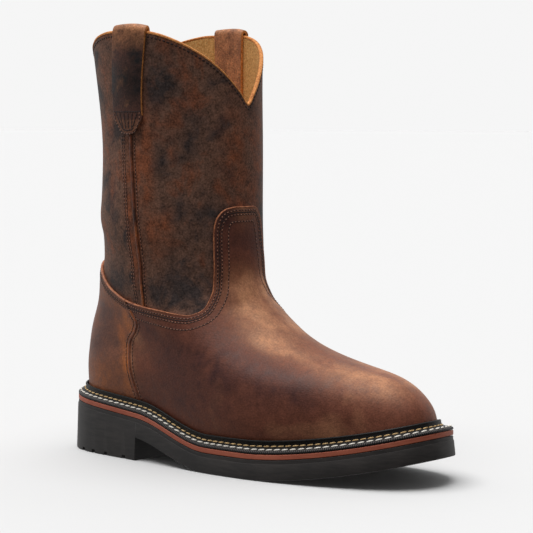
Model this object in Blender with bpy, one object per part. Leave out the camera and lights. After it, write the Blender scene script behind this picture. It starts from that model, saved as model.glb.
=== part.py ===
"""Western pull-on work boot, right foot, men's size 9.

Frame: +X to the toe, +Y to the inner side of the foot, +Z up. The origin is on
the floor, under the middle of the bounding box. Lengths are in millimetres and
become metres in make_object().

The upper is one hollow shell. Its skin is a function of a turn round the foot
(0 at the toe or shin, 1 and -1 at the back, negative on the outer side) and of a
level, which climbs from the feather line (0) to the collar. Every piece that lies
on the upper is worked out from that skin.
"""
import math

import bmesh
import bpy
import numpy as np

MM = 0.001

# Driving dimensions, millimetres
SOLE_LENGTH = 308.0
LAST_LENGTH = 286.0
BALL_WIDTH = 95.0
INSTEP_HEIGHT = 97.0
SHAFT_HEIGHT = 296.0
HEEL_BREAST_X = -70.0
HEEL_RISE_FRONT = 16.0
HEEL_RISE_BACK = 22.8
ARCH_END_X = 1.0
TREAD_END_X = 34.0
TOE_SPRING = 19.0
OUTSOLE_TOP = 13.3
MIDSOLE_BOTTOM = 13.6
MIDSOLE_TOP = 17.0
WELT_BOTTOM = 17.3
RIB_HEIGHT = 4.2
SEAT = 21.5
UPPER_WALL = 2.2
OVERLAY_INNER = 0.3
OVERLAY_OUTER = 1.9
STRAP_THICKNESS = 2.0
STRAP_WIDTH = 27.0
BEAD_WIDTH = 3.0
GAP = 0.3

COLUMNS = 52
FOOT_ROWS = 12
SHAFT_ROWS = 5
WELT_COLUMNS = 72
FOOT_LEVEL = 8.5

# Stations along the foot where half widths are given, as a share of its length
WIDTH_STATIONS = (0.0, 0.13, 0.38, 0.66, 0.86, 1.0)

# Sections of the skin for this size, graded by LONG, WIDE and HIGH below.
# back x, back z, front x, front z, follow, then fullness at the six stations.
# Follow is how much of the sole's spring the section keeps: 1 is all of it.
SECTIONS = (
    ("feather", -144.0, None, 142.0, None, 1.0, 65.0, 48.0, 37.5, 46.0, 49.5, 63.5),
    ("wall", -144.0, 60.0, 140.0, 47.0, 0.9, 67.5, 51.5, 41.0, 50.0, 50.5, 60.0),
    ("toe box", -142.5, 72.0, 132.0, 57.0, 0.8, 67.5, 53.0, 43.0, 51.0, 51.0, 55.0),
    ("toe top", -141.0, 82.0, 116.5, 66.0, 0.6, 65.5, 50.5, 43.0, 50.0, 48.0, 45.5),
    ("vamp", -139.0, 92.0, 89.5, 71.5, 0.3, 60.5, 48.5, 43.0, 47.0, 42.5, 39.0),
    ("low instep", -135.5, 103.0, 55.5, 80.5, 0.1, 54.5, 46.0, 43.0, 46.0, 40.5, 36.0),
    ("instep", -133.0, 114.0, 25.0, 97.0, 0.0, 50.5, 45.5, 44.0, 46.0, 41.5, 37.5),
    ("throat", -131.0, 127.0, 4.0, 117.0, 0.0, 51.0, 46.5, 46.0, 47.0, 44.0, 40.0),
    ("ankle", -128.0, 143.0, -2.5, 140.5, 0.0, 51.0, 48.5, 48.0, 48.5, 47.5, 45.0),
    ("shaft", -127.5, 170.0, -5.5, 170.0, 0.0, 52.5, 51.0, 51.5, 51.5, 51.0, 50.0),
    ("calf", -126.0, 215.0, -5.5, 215.0, 0.0, 52.0, 51.0, 51.5, 51.5, 51.0, 50.0),
    ("top band", -130.0, 260.0, -5.5, 260.0, 0.0, 53.5, 53.0, 53.0, 53.0, 51.5, 48.0),
    ("collar", -135.5, 300.0, -4.0, 300.0, 0.0, 55.5, 56.0, 55.0, 55.0, 53.0, 46.0),
)
# The foot is fuller on its outer side behind the ball, and on its inner side at
# the big toe: what each station adds outside and takes away inside.
FOOT_SWING = (0.0, 0.0, 5.0, 1.0, -5.5, -13.0)
SWING_FADE = 4.0

# Sole outline, fullness at the same stations
SOLE_OUTER = (77.5, 58.5, 51.0, 57.0, 59.5, 66.0)
SOLE_INNER = (78.0, 59.0, 41.0, 55.0, 70.0, 90.0)

# Collar: height against turn, deep scallop in front and a shallow one behind
COLLAR_TURN = (0.0, 0.05, 0.13, 0.20, 0.29, 0.39, 0.48, 0.57, 0.66, 0.75, 0.88, 1.0)
COLLAR_HEIGHT = (247, 255, 268, 278, 288, 295, 296.5, 296, 292, 285, 278, 276)

# Top line of vamp and counter: height against turn, with the tab up the shin
FOXING_TURN = (0.0, 0.09, 0.13, 0.16, 0.18, 0.19, 0.205, 0.214, 0.225, 0.24, 0.275,
               0.325, 0.37, 0.45, 0.53, 0.59, 0.64, 0.70, 0.76, 0.83, 0.91, 1.0)
FOXING_HEIGHT = (177, 176.5, 174.5, 169, 160, 148, 133, 125, 118, 114, 109.5,
                 105.5, 103.5, 105.5, 107, 108, 111, 118, 131, 141, 146.5, 148)
# the tab's inner edge is nearer to the middle of the shin than its outer edge
FOXING_TURN_INNER = (0.0, 0.03, 0.05, 0.07, 0.085, 0.095, 0.108, 0.118, 0.132, 0.152, 0.195,
                     0.26, 0.325, 0.43, 0.53, 0.59, 0.64, 0.70, 0.76, 0.83, 0.91, 1.0)

# Foot seam, where vamp and counter meet: turn against level
FOOT_SEAM_LEVEL = (0.0, 0.4, 1.1, 2.4, 3.7, 4.6, 5.2, 9.0)
FOOT_SEAM_TURN = (0.672, 0.675, 0.683, 0.687, 0.667, 0.622, 0.600, 0.600)
# Side seam of the shaft: turn against height
SHAFT_SEAM_HEIGHT = (108.0, 113.0, 120.0, 130.0, 145.0, 163.0, 191.0, 216.0, 300.0)
SHAFT_SEAM_TURN = (0.524, 0.511, 0.498, 0.492, 0.490, 0.485, 0.495, 0.506, 0.500)
STRAP_HEIGHT = (225.0, 240.0, 300.0)
STRAP_TURN = (0.510, 0.514, 0.479)
STRAP_OUTSIDE_LOW = 225.0
STRAP_INSIDE_LOW = 232.0

LONG = LAST_LENGTH / 286.0
WIDE = BALL_WIDTH / 95.0
HIGH_FOOT = INSTEP_HEIGHT / 97.0
HIGH_SHAFT = SHAFT_HEIGHT / 296.0


def smooth_step(value):
    """Ease from 0 to 1."""
    t = np.clip(value, 0.0, 1.0)
    return t * t * (3.0 - 2.0 * t)


def underside(x):
    """Height of the sole's underside over the floor, as if the heel were off."""
    x = np.asarray(x, float)
    back = -SOLE_LENGTH / 2
    heel_slope = (HEEL_BREAST_X - x) / (HEEL_BREAST_X - back)
    heel = HEEL_RISE_FRONT + (HEEL_RISE_BACK - HEEL_RISE_FRONT) * heel_slope
    arch = np.clip((x - HEEL_BREAST_X) / (ARCH_END_X - HEEL_BREAST_X), 0.0, 1.0)
    # the waist leaves the heel at the heel's own slope
    fall = (HEEL_RISE_FRONT - HEEL_RISE_BACK) / (HEEL_BREAST_X - back)
    waist = HEEL_RISE_FRONT * (1.0 - smooth_step(arch))
    waist = waist + fall * (x - HEEL_BREAST_X) * (1.0 - arch) ** 2
    forward = np.clip((x - TREAD_END_X) / (SOLE_LENGTH / 2 - TREAD_END_X), 0.0, 2.0)
    return np.where(x < HEEL_BREAST_X, heel, waist) + TOE_SPRING * forward ** 1.7


def seat(x):
    """Height of the feather line, where the upper meets the welt."""
    return underside(x) + SEAT


def natural_spline(knots, values):
    """Natural cubic through rows of values; returns a function of the knot axis."""
    knots = np.asarray(knots, float)
    values = np.asarray(values, float)
    count = len(knots)
    step = np.diff(knots)
    matrix = np.eye(count)
    right = np.zeros((count,) + values.shape[1:])
    for i in range(1, count - 1):
        matrix[i, i - 1:i + 2] = [step[i - 1], 2 * (step[i - 1] + step[i]), step[i]]
        rise = (values[i + 1] - values[i]) / step[i]
        right[i] = 6 * (rise - (values[i] - values[i - 1]) / step[i - 1])
    bend = np.linalg.solve(matrix, right.reshape(count, -1)).reshape(right.shape)

    def curve(at):
        at = np.asarray(at, float)
        i = np.clip(np.searchsorted(knots, at) - 1, 0, count - 2)
        width = step[i]
        before = knots[i + 1] - at
        after = at - knots[i]
        if values.ndim > 1:
            width = width[..., None]
            before = before[..., None]
            after = after[..., None]
        cubic = (bend[i] * before ** 3 + bend[i + 1] * after ** 3) / (6 * width)
        low = (values[i] / width - bend[i] * width / 6) * before
        high = (values[i + 1] / width - bend[i + 1] * width / 6) * after
        return cubic + low + high

    return curve


def graded_sections():
    """Rows of the section table as numbers, graded to the driving dimensions."""
    rows = []
    for name, back_x, back_z, front_x, front_z, follow, *full in SECTIONS:
        back_x = back_x * LONG
        front_x = front_x * LONG
        if name == "feather":
            back_z = float(seat(back_x))
            front_z = float(seat(front_x))
        else:
            lift = HIGH_SHAFT if back_z > 150.0 else HIGH_FOOT
            back_z = back_z * lift
            front_z = front_z * lift
        rows.append([back_x, back_z, front_x, front_z, follow] + [g * WIDE for g in full])
    return np.array(rows)


SECTION_CURVE = natural_spline(range(len(SECTIONS)), graded_sections())
SWING_CURVE = natural_spline(WIDTH_STATIONS, FOOT_SWING)
STATION_SHARE = [natural_spline(WIDTH_STATIONS, row) for row in np.eye(len(WIDTH_STATIONS))]
SOLE_OUTER_CURVE = natural_spline(WIDTH_STATIONS, SOLE_OUTER)
SOLE_INNER_CURVE = natural_spline(WIDTH_STATIONS, SOLE_INNER)
TOP_LEVEL = float(len(SECTIONS) - 1)


def skin(turn, level):
    """Point on the skin of the upper."""
    turn, level = np.broadcast_arrays(np.asarray(turn, float), np.asarray(level, float))
    turn = (turn + 1.0) % 2.0 - 1.0
    share = (1.0 + np.cos(math.pi * turn)) / 2.0
    row = SECTION_CURVE(level)
    x = row[..., 0] + (row[..., 2] - row[..., 0]) * share
    chord = seat(row[..., 0]) * (1.0 - share) + seat(row[..., 2]) * share
    z = row[..., 1] + (row[..., 3] - row[..., 1]) * share
    z = z + row[..., 4] * (seat(x) - chord)
    full = sum(row[..., 5 + k] * STATION_SHARE[k](share) for k in range(len(WIDTH_STATIONS)))
    fade = np.exp(-(level / SWING_FADE) ** 2)
    full = full + np.where(turn < 0.0, 1.0, -1.0) * SWING_CURVE(share) * fade
    return np.stack([x, np.sin(math.pi * turn) * full, z], -1)


def skin_frame(turn, level):
    """Point, outward normal and millimetres of skin per unit of turn."""
    e = 0.002
    point = skin(turn, level)
    along = (skin(turn + e, level) - skin(turn - e, level)) / (2 * e)
    climb = skin(turn, level + e) - skin(turn, level - e)
    normal = np.cross(along, climb)
    flat = np.clip(np.asarray(level, float), 0.0, 1.0)
    normal[..., 2] = normal[..., 2] * flat
    normal = normal / np.linalg.norm(normal, axis=-1, keepdims=True)
    return point, normal, np.linalg.norm(along, axis=-1)


def on_skin(turn, level, depth):
    """Point at a depth outside the skin (negative is inside the wall)."""
    point, normal, _ = skin_frame(turn, level)
    moved = point + normal * np.asarray(depth, float)[..., None]
    near_welt = 1.0 - np.clip(np.asarray(level, float), 0.0, 1.0)
    moved[..., 2] += near_welt * (seat(moved[..., 0]) - seat(point[..., 0]))
    return moved


def level_at(turn, height):
    """Level where the skin reaches a height at a turn, by halving."""
    turn, height = np.broadcast_arrays(np.asarray(turn, float), np.asarray(height, float))
    low = np.zeros(turn.shape)
    high = np.full(turn.shape, TOP_LEVEL)
    for _ in range(40):
        middle = (low + high) / 2
        below = skin(turn, middle)[..., 2] < height
        low = np.where(below, middle, low)
        high = np.where(below, high, middle)
    return (low + high) / 2


def read_table(at, knots, values):
    """Smooth reading of a table; steep tables keep their monotone steps."""
    knots = np.asarray(knots, float)
    values = np.asarray(values, float)
    slope = np.gradient(values, knots)
    secant = np.diff(values) / np.diff(knots)
    slope[0] = 0.0
    for i in range(1, len(knots) - 1):
        if secant[i - 1] * secant[i] <= 0:
            slope[i] = 0.0
        else:
            limit = 3 * min(abs(secant[i - 1]), abs(secant[i]))
            slope[i] = max(-limit, min(limit, slope[i]))
    at = np.asarray(at, float)
    i = np.clip(np.searchsorted(knots, at) - 1, 0, len(knots) - 2)
    width = knots[i + 1] - knots[i]
    t = np.clip((at - knots[i]) / width, 0.0, 1.0)
    low = values[i] * (1 + 2 * t) * (1 - t) ** 2 + slope[i] * width * t * (1 - t) ** 2
    high = values[i + 1] * t * t * (3 - 2 * t) + slope[i + 1] * width * t * t * (t - 1)
    return low + high


def collar_height(turn):
    """Height of the collar's edge at a turn."""
    turn = np.abs((np.asarray(turn, float) + 1.0) % 2.0 - 1.0)
    return read_table(turn, COLLAR_TURN, COLLAR_HEIGHT) * HIGH_SHAFT


def foxing_height(turn):
    """Height of the top line of vamp and counter at a turn."""
    turn = (np.asarray(turn, float) + 1.0) % 2.0 - 1.0
    inner = read_table(turn, FOXING_TURN_INNER, FOXING_HEIGHT)
    return np.where(turn > 0.0, inner, read_table(-turn, FOXING_TURN, FOXING_HEIGHT))


def foot_seam_turn(level):
    """Turn of the foot seam at a level."""
    return read_table(level, FOOT_SEAM_LEVEL, FOOT_SEAM_TURN)


def shaft_seam_turn(height):
    """Turn of the shaft's side seam at a height."""
    return read_table(height, SHAFT_SEAM_HEIGHT, SHAFT_SEAM_TURN)


def ring_outward(ring):
    """Unit vectors square to a flat ring of points, pointing out."""
    along = np.roll(ring, -1, axis=0) - np.roll(ring, 1, axis=0)
    along = along / np.linalg.norm(along, axis=1, keepdims=True)
    outward = np.stack([along[:, 1], -along[:, 0]], -1)
    return outward * np.sign(np.sum(outward * (ring - ring.mean(axis=0))))


def sole_ring(turn, height, spread=0.0):
    """Ring of the sole outline at a height over the underside, spread outward."""
    share = (1.0 + np.cos(math.pi * turn)) / 2.0
    x = SOLE_LENGTH * (share - 0.5)
    full = np.where(turn < 0.0, SOLE_OUTER_CURVE(share), SOLE_INNER_CURVE(share)) * WIDE
    y = np.sin(math.pi * turn) * full
    ring = np.stack([x, y], -1)
    wide = ring + ring_outward(ring) * spread
    return np.column_stack([wide, underside(x) + height])


def finish(name, colour, roughness, metallic=0.0):
    """Plain Principled material from an sRGB hex colour."""
    material = bpy.data.materials.new(name)
    material.use_nodes = True
    shader = material.node_tree.nodes["Principled BSDF"]
    channels = [int(colour[i:i + 2], 16) / 255 for i in (1, 3, 5)]
    linear = [c / 12.92 if c <= 0.04045 else ((c + 0.055) / 1.055) ** 2.4 for c in channels]
    shader.inputs["Base Color"].default_value = (*linear, 1.0)
    shader.inputs["Roughness"].default_value = roughness
    shader.inputs["Metallic"].default_value = metallic
    return material


def make_object(name, points, faces, material=None):
    """Object from points in millimetres, with its faces turned outward."""
    mesh = bpy.data.meshes.new(name)
    mesh.from_pydata([tuple(p) for p in np.asarray(points) * MM], [], faces)
    work = bmesh.new()
    work.from_mesh(mesh)
    bmesh.ops.recalc_face_normals(work, faces=work.faces)
    work.to_mesh(mesh)
    work.free()
    mesh.shade_smooth()
    mesh.set_sharp_from_angle(angle=math.radians(38))
    if material is not None:
        mesh.materials.append(material)
    thing = bpy.data.objects.new(name, mesh)
    bpy.context.scene.collection.objects.link(thing)
    return thing


def hide_cutter(thing):
    """Mark an object as a cutter."""
    thing.hide_render = True
    thing.display_type = "WIRE"


def cut(thing, cutter, operation):
    """Exact Boolean of thing with a hidden cutter."""
    hide_cutter(cutter)
    modifier = thing.modifiers.new(operation.title(), "BOOLEAN")
    modifier.operation = operation
    modifier.solver = "EXACT"
    modifier.object = cutter


def quads(rows, columns, first, closed):
    """Triangles of a grid whose points start at first, row after row."""
    faces = []
    for i in range(rows - 1):
        for j in range(columns if closed else columns - 1):
            k = (j + 1) % columns
            a = first + i * columns + j
            b = first + i * columns + k
            c = first + (i + 1) * columns + k
            d = first + (i + 1) * columns + j
            faces += [(a, b, c), (a, c, d)]
    return faces


def between(ring_a, ring_b):
    """Triangles between two closed rings of point numbers."""
    faces = []
    count = len(ring_a)
    for j in range(count):
        k = (j + 1) % count
        faces += [(ring_a[j], ring_a[k], ring_b[k]), (ring_a[j], ring_b[k], ring_b[j])]
    return faces


def ring_shell(name, outer, inner, material=None):
    """Closed shell between two grids of rings (rows, columns, 3)."""
    rows, columns = outer.shape[:2]
    points = np.concatenate([outer.reshape(-1, 3), inner.reshape(-1, 3)])
    half = rows * columns
    faces = quads(rows, columns, 0, True) + quads(rows, columns, half, True)
    foot = list(range(columns))
    top = list(range(half - columns, half))
    faces += between(foot, [half + j for j in foot])
    faces += between(top, [half + j for j in top])
    return make_object(name, points, faces, material)


def patch_solid(name, outer, inner, material=None):
    """Closed slab between two open grids of the same shape."""
    rows, columns = outer.shape[:2]
    points = np.concatenate([outer.reshape(-1, 3), inner.reshape(-1, 3)])
    half = rows * columns
    faces = quads(rows, columns, 0, False) + quads(rows, columns, half, False)
    edge = [j for j in range(columns)]
    edge += [i * columns + columns - 1 for i in range(1, rows)]
    edge += [(rows - 1) * columns + j for j in range(columns - 2, -1, -1)]
    edge += [i * columns for i in range(rows - 2, 0, -1)]
    faces += between(edge, [half + k for k in edge])
    return make_object(name, points, faces, material)


def swept_solid(name, rings, material=None):
    """Closed bar through a row of section rings (count, points, 3)."""
    count, around = rings.shape[:2]
    faces = quads(count, around, 0, True)
    last = (count - 1) * around
    faces.append(tuple(range(around)))
    faces.append(tuple(last + j for j in range(around)))
    return make_object(name, rings.reshape(-1, 3), faces, material)


def ladder_solid(name, rings, material):
    """Slab whose outline rings pair each outer point with the inner one across."""
    rows = len(rings)
    count = len(rings[0])
    middle = count // 2
    points = np.concatenate(rings)
    faces = quads(rows, count, 0, True)
    for first in (0, (rows - 1) * count):
        faces.append((first, first + 1, first + count - 1))
        for j in range(1, middle - 1):
            near = (first + j, first + j + 1)
            far = (first + count - j - 1, first + count - j)
            faces += [(near[0], near[1], far[0]), (near[0], far[0], far[1])]
        faces.append((first + middle - 1, first + middle, first + middle + 1))
    return make_object(name, points, faces, material)


def column_turns(count=COLUMNS):
    """Turns of the upper's columns, spread evenly along the foot's outline."""
    even = np.arange(count) * 2.0 / count
    return even + 0.3 * np.sin(2 * math.pi * even) / (2 * math.pi)


def upper_grid(depth, rows=FOOT_ROWS + SHAFT_ROWS):
    """Grid of the upper's skin at a depth, from the feather line up."""
    turn = column_turns()
    top = level_at(turn, collar_height(turn))
    levels = []
    for i in range(rows):
        if i < FOOT_ROWS:
            levels.append(np.full(len(turn), FOOT_LEVEL * i / (FOOT_ROWS - 1)))
        else:
            climb = (i - FOOT_ROWS + 1) / SHAFT_ROWS
            levels.append(FOOT_LEVEL + (top - FOOT_LEVEL) * climb)
    level = np.array(levels)
    return on_skin(np.broadcast_to(turn, level.shape), level, np.full(level.shape, depth))


def build_upper(material):
    """One hollow shell, open at the collar and underneath."""
    return ring_shell("upper", upper_grid(0.0), upper_grid(-UPPER_WALL), material)


def overlay_cutter(name, across, front):
    """Slab that keeps one overlay: front is the vamp, else the counter."""
    share = np.linspace(0.0, 1.0, 25)
    seam_top = FOOT_SEAM_TURN[-1]
    inner = []
    outer = []
    for r in share:
        turn_top = across * seam_top if front else 1.0 + across * (1.0 - seam_top)
        level = level_at(turn_top, foxing_height(turn_top)) * r
        seam = foot_seam_turn(level)
        side = np.where(across < 0.0, -1.0, 1.0) * (1.0 if front else -1.0)
        clear = (BEAD_WIDTH / 2 + 0.5) / skin_frame(side * seam, level)[2]
        if front:
            turn = across * (seam - clear)
        else:
            turn = 1.0 + across * (1.0 - seam - clear)
        low = on_skin(turn, level, np.full(turn.shape, -4.0))
        high = on_skin(turn, level, np.full(turn.shape, 6.0))
        if r == 0.0:
            low[:, 2] -= 3.0
            high[:, 2] -= 3.0
        inner.append(low)
        outer.append(high)
    cutter = patch_solid(name, np.array(outer), np.array(inner))
    return cutter


def build_overlay(name, across, front, material):
    """Overlay cut out between two larger forms of the upper's own skin."""
    rows = FOOT_ROWS + 2
    form = ring_shell(name, upper_grid(OVERLAY_OUTER, rows), upper_grid(OVERLAY_INNER, rows), material)
    cut(form, overlay_cutter(name + "_outline", across, front), "INTERSECT")
    return form


def vamp_columns():
    """Places across the vamp's outline, close together at the tab's corners."""
    half = (0.0, 0.05, 0.09, 0.115, 0.135, 0.15, 0.162, 0.172, 0.18, 0.187, 0.193, 0.199,
            0.205, 0.21, 0.216, 0.223, 0.232, 0.245, 0.262, 0.28, 0.3, 0.325, 0.355,
            0.39, 0.43, 0.475, 0.52, 0.56, 0.6)
    inner = np.interp(half, FOXING_TURN, FOXING_TURN_INNER)
    return np.concatenate([-np.array(half[:0:-1]), inner]) / 0.6


def bead_section(width, low, high):
    """Half round section: places across and depths over the skin."""
    across = np.array([-0.5, -0.42, -0.2, 0.2, 0.42, 0.5]) * width
    depth = low + (high - low) * np.array([0.0, 0.62, 1.0, 1.0, 0.62, 0.0])
    return across, depth


def bead_on_skin(name, turns, levels, width, low, high, side, material):
    """Bead along a path on the skin."""
    across, depth = bead_section(width, low, high)
    rings = []
    for turn, level in zip(turns, levels):
        stretch = skin_frame(np.array(turn), np.array(level))[2]
        places = side * turn + across / stretch
        rings.append(on_skin(places, np.full(places.shape, level), depth))
    return swept_solid(name, np.array(rings), material)


def build_side_seams(material):
    """Piping down each side of the shaft, from the pull strap to the foxing."""
    for label, side in (("outer", -1.0), ("inner", 1.0)):
        height = np.linspace(109.5, STRAP_OUTSIDE_LOW - 2.0, 12)
        turn = shaft_seam_turn(height)
        level = level_at(side * turn, height)
        bead_on_skin("shaft_seam_" + label, turn, level, 3.4, GAP, 1.7, side, material)


def build_foot_seams(material):
    """Bead in the joint of vamp and counter, down to the welt."""
    for label, side in (("outer", -1.0), ("inner", 1.0)):
        level = np.linspace(0.1, 5.6, 20)
        turn = foot_seam_turn(level)
        bead_on_skin("foot_seam_" + label, turn, level, BEAD_WIDTH, GAP, 2.5, side, material)


def strap_path():
    """Steps along a pull strap: kind of leg, place on it and place across depth."""
    outside = [("outside", t) for t in np.linspace(0.0, 1.0, 7)]
    arch = [("arch", t) for t in np.linspace(0.0, 1.0, 7)[1:-1]]
    inside = [("inside", t) for t in np.linspace(0.0, 1.0, 5)]
    return outside + arch + inside


def strap_point(side, leg, place, offset, away):
    """Point of a strap; away is 0 on the side next to the shaft, 1 on the other."""
    thick = STRAP_THICKNESS * away
    centre = side * read_table(300.0, STRAP_HEIGHT, STRAP_TURN)
    stretch = skin_frame(np.array(centre), np.array(11.0))[2]
    turn = centre + offset / stretch
    rim = collar_height(turn) + 0.5
    if leg == "outside":
        taper = max(0.0, 1.0 - place * 6.0)
        low = STRAP_OUTSIDE_LOW + 5.0 * abs(offset) / (STRAP_WIDTH / 2) * taper
        height = low + (rim - low) * place
        centre = side * read_table(height, STRAP_HEIGHT, STRAP_TURN)
        turn = centre + offset * (1.0 - 0.45 * taper) / stretch
        return on_skin(np.array(turn), level_at(turn, height), np.array(GAP + thick))
    if leg == "inside":
        height = rim + (STRAP_INSIDE_LOW - rim) * place
        depth = -(UPPER_WALL + GAP + thick)
        return on_skin(np.array(turn), level_at(turn, height), np.array(depth))
    angle = math.pi * place
    half_gap = UPPER_WALL / 2 + GAP
    depth = -UPPER_WALL / 2 + (half_gap + thick) * math.cos(angle)
    point = on_skin(np.array(turn), level_at(turn, rim), np.array(depth))
    point[2] = point[2] + (2.6 + thick) * math.sin(angle)
    return point


def build_straps(material):
    """Leather loop over the collar on each side, with a tapered tab outside."""
    offsets = np.linspace(-0.5, 0.5, 6) * STRAP_WIDTH
    for label, side in (("outer", -1.0), ("inner", 1.0)):
        near = []
        away = []
        for leg, place in strap_path():
            near.append([strap_point(side, leg, place, o, 0.0) for o in offsets])
            away.append([strap_point(side, leg, place, o, 1.0) for o in offsets])
        patch_solid("pull_strap_" + label, np.array(away), np.array(near), material)


def sole_turns():
    """Turns of the sole's ring, with a pair of stations at the heel breast."""
    waist = list(np.arange(HEEL_BREAST_X + 7.0, TREAD_END_X, 7.0))
    exact = [HEEL_BREAST_X, HEEL_BREAST_X + 1.2, TREAD_END_X]
    stations = np.array(exact + waist) / SOLE_LENGTH + 0.5
    fixed = np.arccos(2 * stations - 1) / math.pi
    even = [t for t in np.linspace(0.0, 1.0, 31) if np.min(np.abs(fixed - t)) > 0.014]
    half = np.sort(np.concatenate([even, fixed]))
    return np.concatenate([half, -half[-2:0:-1]])


def build_outsole(material):
    """Rubber unit: heel block and forefoot in one, with a ledge under the midsole."""
    turn = sole_turns()
    top = sole_ring(turn, OUTSOLE_TOP)
    ledge = sole_ring(turn, OUTSOLE_TOP - 2.2)
    step = sole_ring(turn, OUTSOLE_TOP - 2.6, 0.7)
    wall = sole_ring(turn, 1.2, 1.2)
    tread = sole_ring(turn, 0.0, 0.2)
    under_heel = tread[:, 0] <= HEEL_BREAST_X + 0.3
    wall[under_heel, 2] = 1.2
    tread[under_heel, 2] = 0.0
    return ladder_solid("outsole", [tread, wall, step, ledge, top], material)


def groove(name, x, length, width, depth):
    """Box that cuts one groove across the tread, laid along the underside."""
    low = float(underside(x)) if x > HEEL_BREAST_X else 0.0
    slope = 0.0
    if x > HEEL_BREAST_X:
        slope = math.atan2(float(underside(x + 2.0) - underside(x - 2.0)), 4.0)
    share = x / SOLE_LENGTH + 0.5
    bow = math.sqrt(4 * share * (1 - share))
    outer = -bow * float(SOLE_OUTER_CURVE(share)) - length
    inner = bow * float(SOLE_INNER_CURVE(share)) + length
    corners = []
    for dx in (-width / 2, width / 2):
        for dz in (-6.0, depth):
            rise = dz + dx * math.tan(slope)
            corners.append((x + dx - dz * math.sin(slope), low + rise))
    points = [(cx, y, cz) for y in (outer, inner) for cx, cz in corners]
    faces = [(0, 1, 3, 2), (4, 6, 7, 5), (0, 4, 5, 1), (2, 3, 7, 6), (0, 2, 6, 4), (1, 5, 7, 3)]
    return make_object(name, points, faces)


def cut_tread(outsole):
    """Open grooves across the heel and shorter ones inside the forefoot's rim."""
    for i, x in enumerate((-128.0, -115.5, -101.5, -82.0)):
        cut(outsole, groove("heel_groove_%d" % (i + 1), x, 6.0, 3.6, 2.6), "DIFFERENCE")
    for i in range(9):
        x = 0.0 + 15.0 * i
        cut(outsole, groove("tread_groove_%d" % (i + 1), x, -11.0, 4.0, 2.2), "DIFFERENCE")


def build_midsole(material):
    """Brick red plate between outsole and welt."""
    turn = sole_turns()
    rings = [sole_ring(turn, MIDSOLE_BOTTOM), sole_ring(turn, MIDSOLE_TOP)]
    return ladder_solid("midsole", rings, material)


def reach_to(ring, start, direction):
    """How far each ray from start runs before it meets the ring."""
    side = np.roll(ring, -1, axis=0) - ring
    reach = []
    for origin, ray in zip(start, direction):
        cross = ray[0] * side[:, 1] - ray[1] * side[:, 0]
        gap = ring - origin
        far = (gap[:, 0] * side[:, 1] - gap[:, 1] * side[:, 0]) / cross
        along = (gap[:, 0] * ray[1] - gap[:, 1] * ray[0]) / cross
        hit = (far > 0.0) & (along >= 0.0) & (along <= 1.0)
        reach.append(far[hit].min())
    return np.array(reach)


def build_welt(material):
    """Storm welt: a flat strip with a raised rib against the upper."""
    turn = column_turns(WELT_COLUMNS)
    feather = skin(turn, np.zeros(len(turn)))[:, :2]
    outward = ring_outward(feather)
    fine = np.linspace(-1.0, 1.0, 721)[:-1]
    reach = reach_to(sole_ring(fine, 0.0)[:, :2], feather, outward)
    # out from the feather line, height over it, lean with the upper, back from the edge
    section = ((-3.5, -0.5, 0.0, None), (2.5, -0.5, 0.0, None), (2.7, 2.2, 1.0, None),
               (3.1, RIB_HEIGHT, 1.0, None), (3.9, RIB_HEIGHT, 1.0, None),
               (4.4, 2.8, 1.0, None), (4.6, 0.2, 0.3, None), (0.0, -2.2, 0.0, 1.0),
               (0.0, -2.9, 0.0, 0.0), (0.0, WELT_BOTTOM - SEAT, 0.0, 0.0),
               (-3.5, WELT_BOTTOM - SEAT, 0.0, None))
    rings = []
    for out, height, lean, back in section:
        far = np.full(len(turn), out) if back is None else reach - back
        if lean > 0.0:
            level = level_at(turn, seat(feather[:, 0]) + height)
            far = far + lean * np.sum((skin(turn, level)[:, :2] - feather) * outward, axis=1)
        flat = feather + outward * far[:, None]
        rings.append(np.column_stack([flat, seat(flat[:, 0]) + height]))
    rings = np.array(rings)
    count, around = rings.shape[:2]
    faces = quads(count, around, 0, True)
    faces += between([(count - 1) * around + j for j in range(around)], list(range(around)))
    return make_object("welt", rings.reshape(-1, 3), faces, material)


def build_insole(material):
    """Footbed inside the welt's ring."""
    turn = sole_turns()
    feather = skin(turn, np.zeros(len(turn)))[:, :2]
    rings = []
    for height in (WELT_BOTTOM, SEAT + 1.6):
        flat = feather - ring_outward(feather) * 4.3
        rings.append(np.column_stack([flat, underside(flat[:, 0]) + height]))
    return ladder_solid("insole", rings, material)


def clear_scene():
    """Remove every object that the scene holds."""
    for thing in list(bpy.data.objects):
        bpy.data.objects.remove(thing, do_unlink=True)


def main():
    """Build the boot."""
    clear_scene()
    shaft_leather = finish("shaft_leather", "#46342c", 0.55)
    vamp_leather = finish("vamp_leather", "#6b4433", 0.5)
    counter_leather = finish("counter_leather", "#5a3829", 0.5)
    piping_leather = finish("piping_leather", "#7a4526", 0.55)
    strap_leather = finish("strap_leather", "#3a2c27", 0.6)
    black_rubber = finish("black_rubber", "#2e2c2c", 0.6)
    brick_rubber = finish("brick_rubber", "#a8563f", 0.6)
    black_welt = finish("welt_leather", "#262322", 0.55)
    tan_board = finish("insole_leather", "#8a6a42", 0.8)
    build_upper(shaft_leather)
    build_overlay("vamp", vamp_columns(), True, vamp_leather)
    build_overlay("counter", np.linspace(-1.0, 1.0, 33), False, counter_leather)
    build_side_seams(piping_leather)
    build_foot_seams(piping_leather)
    build_straps(strap_leather)
    outsole = build_outsole(black_rubber)
    cut_tread(outsole)
    build_midsole(brick_rubber)
    build_welt(black_welt)
    build_insole(tan_board)


main()
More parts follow.
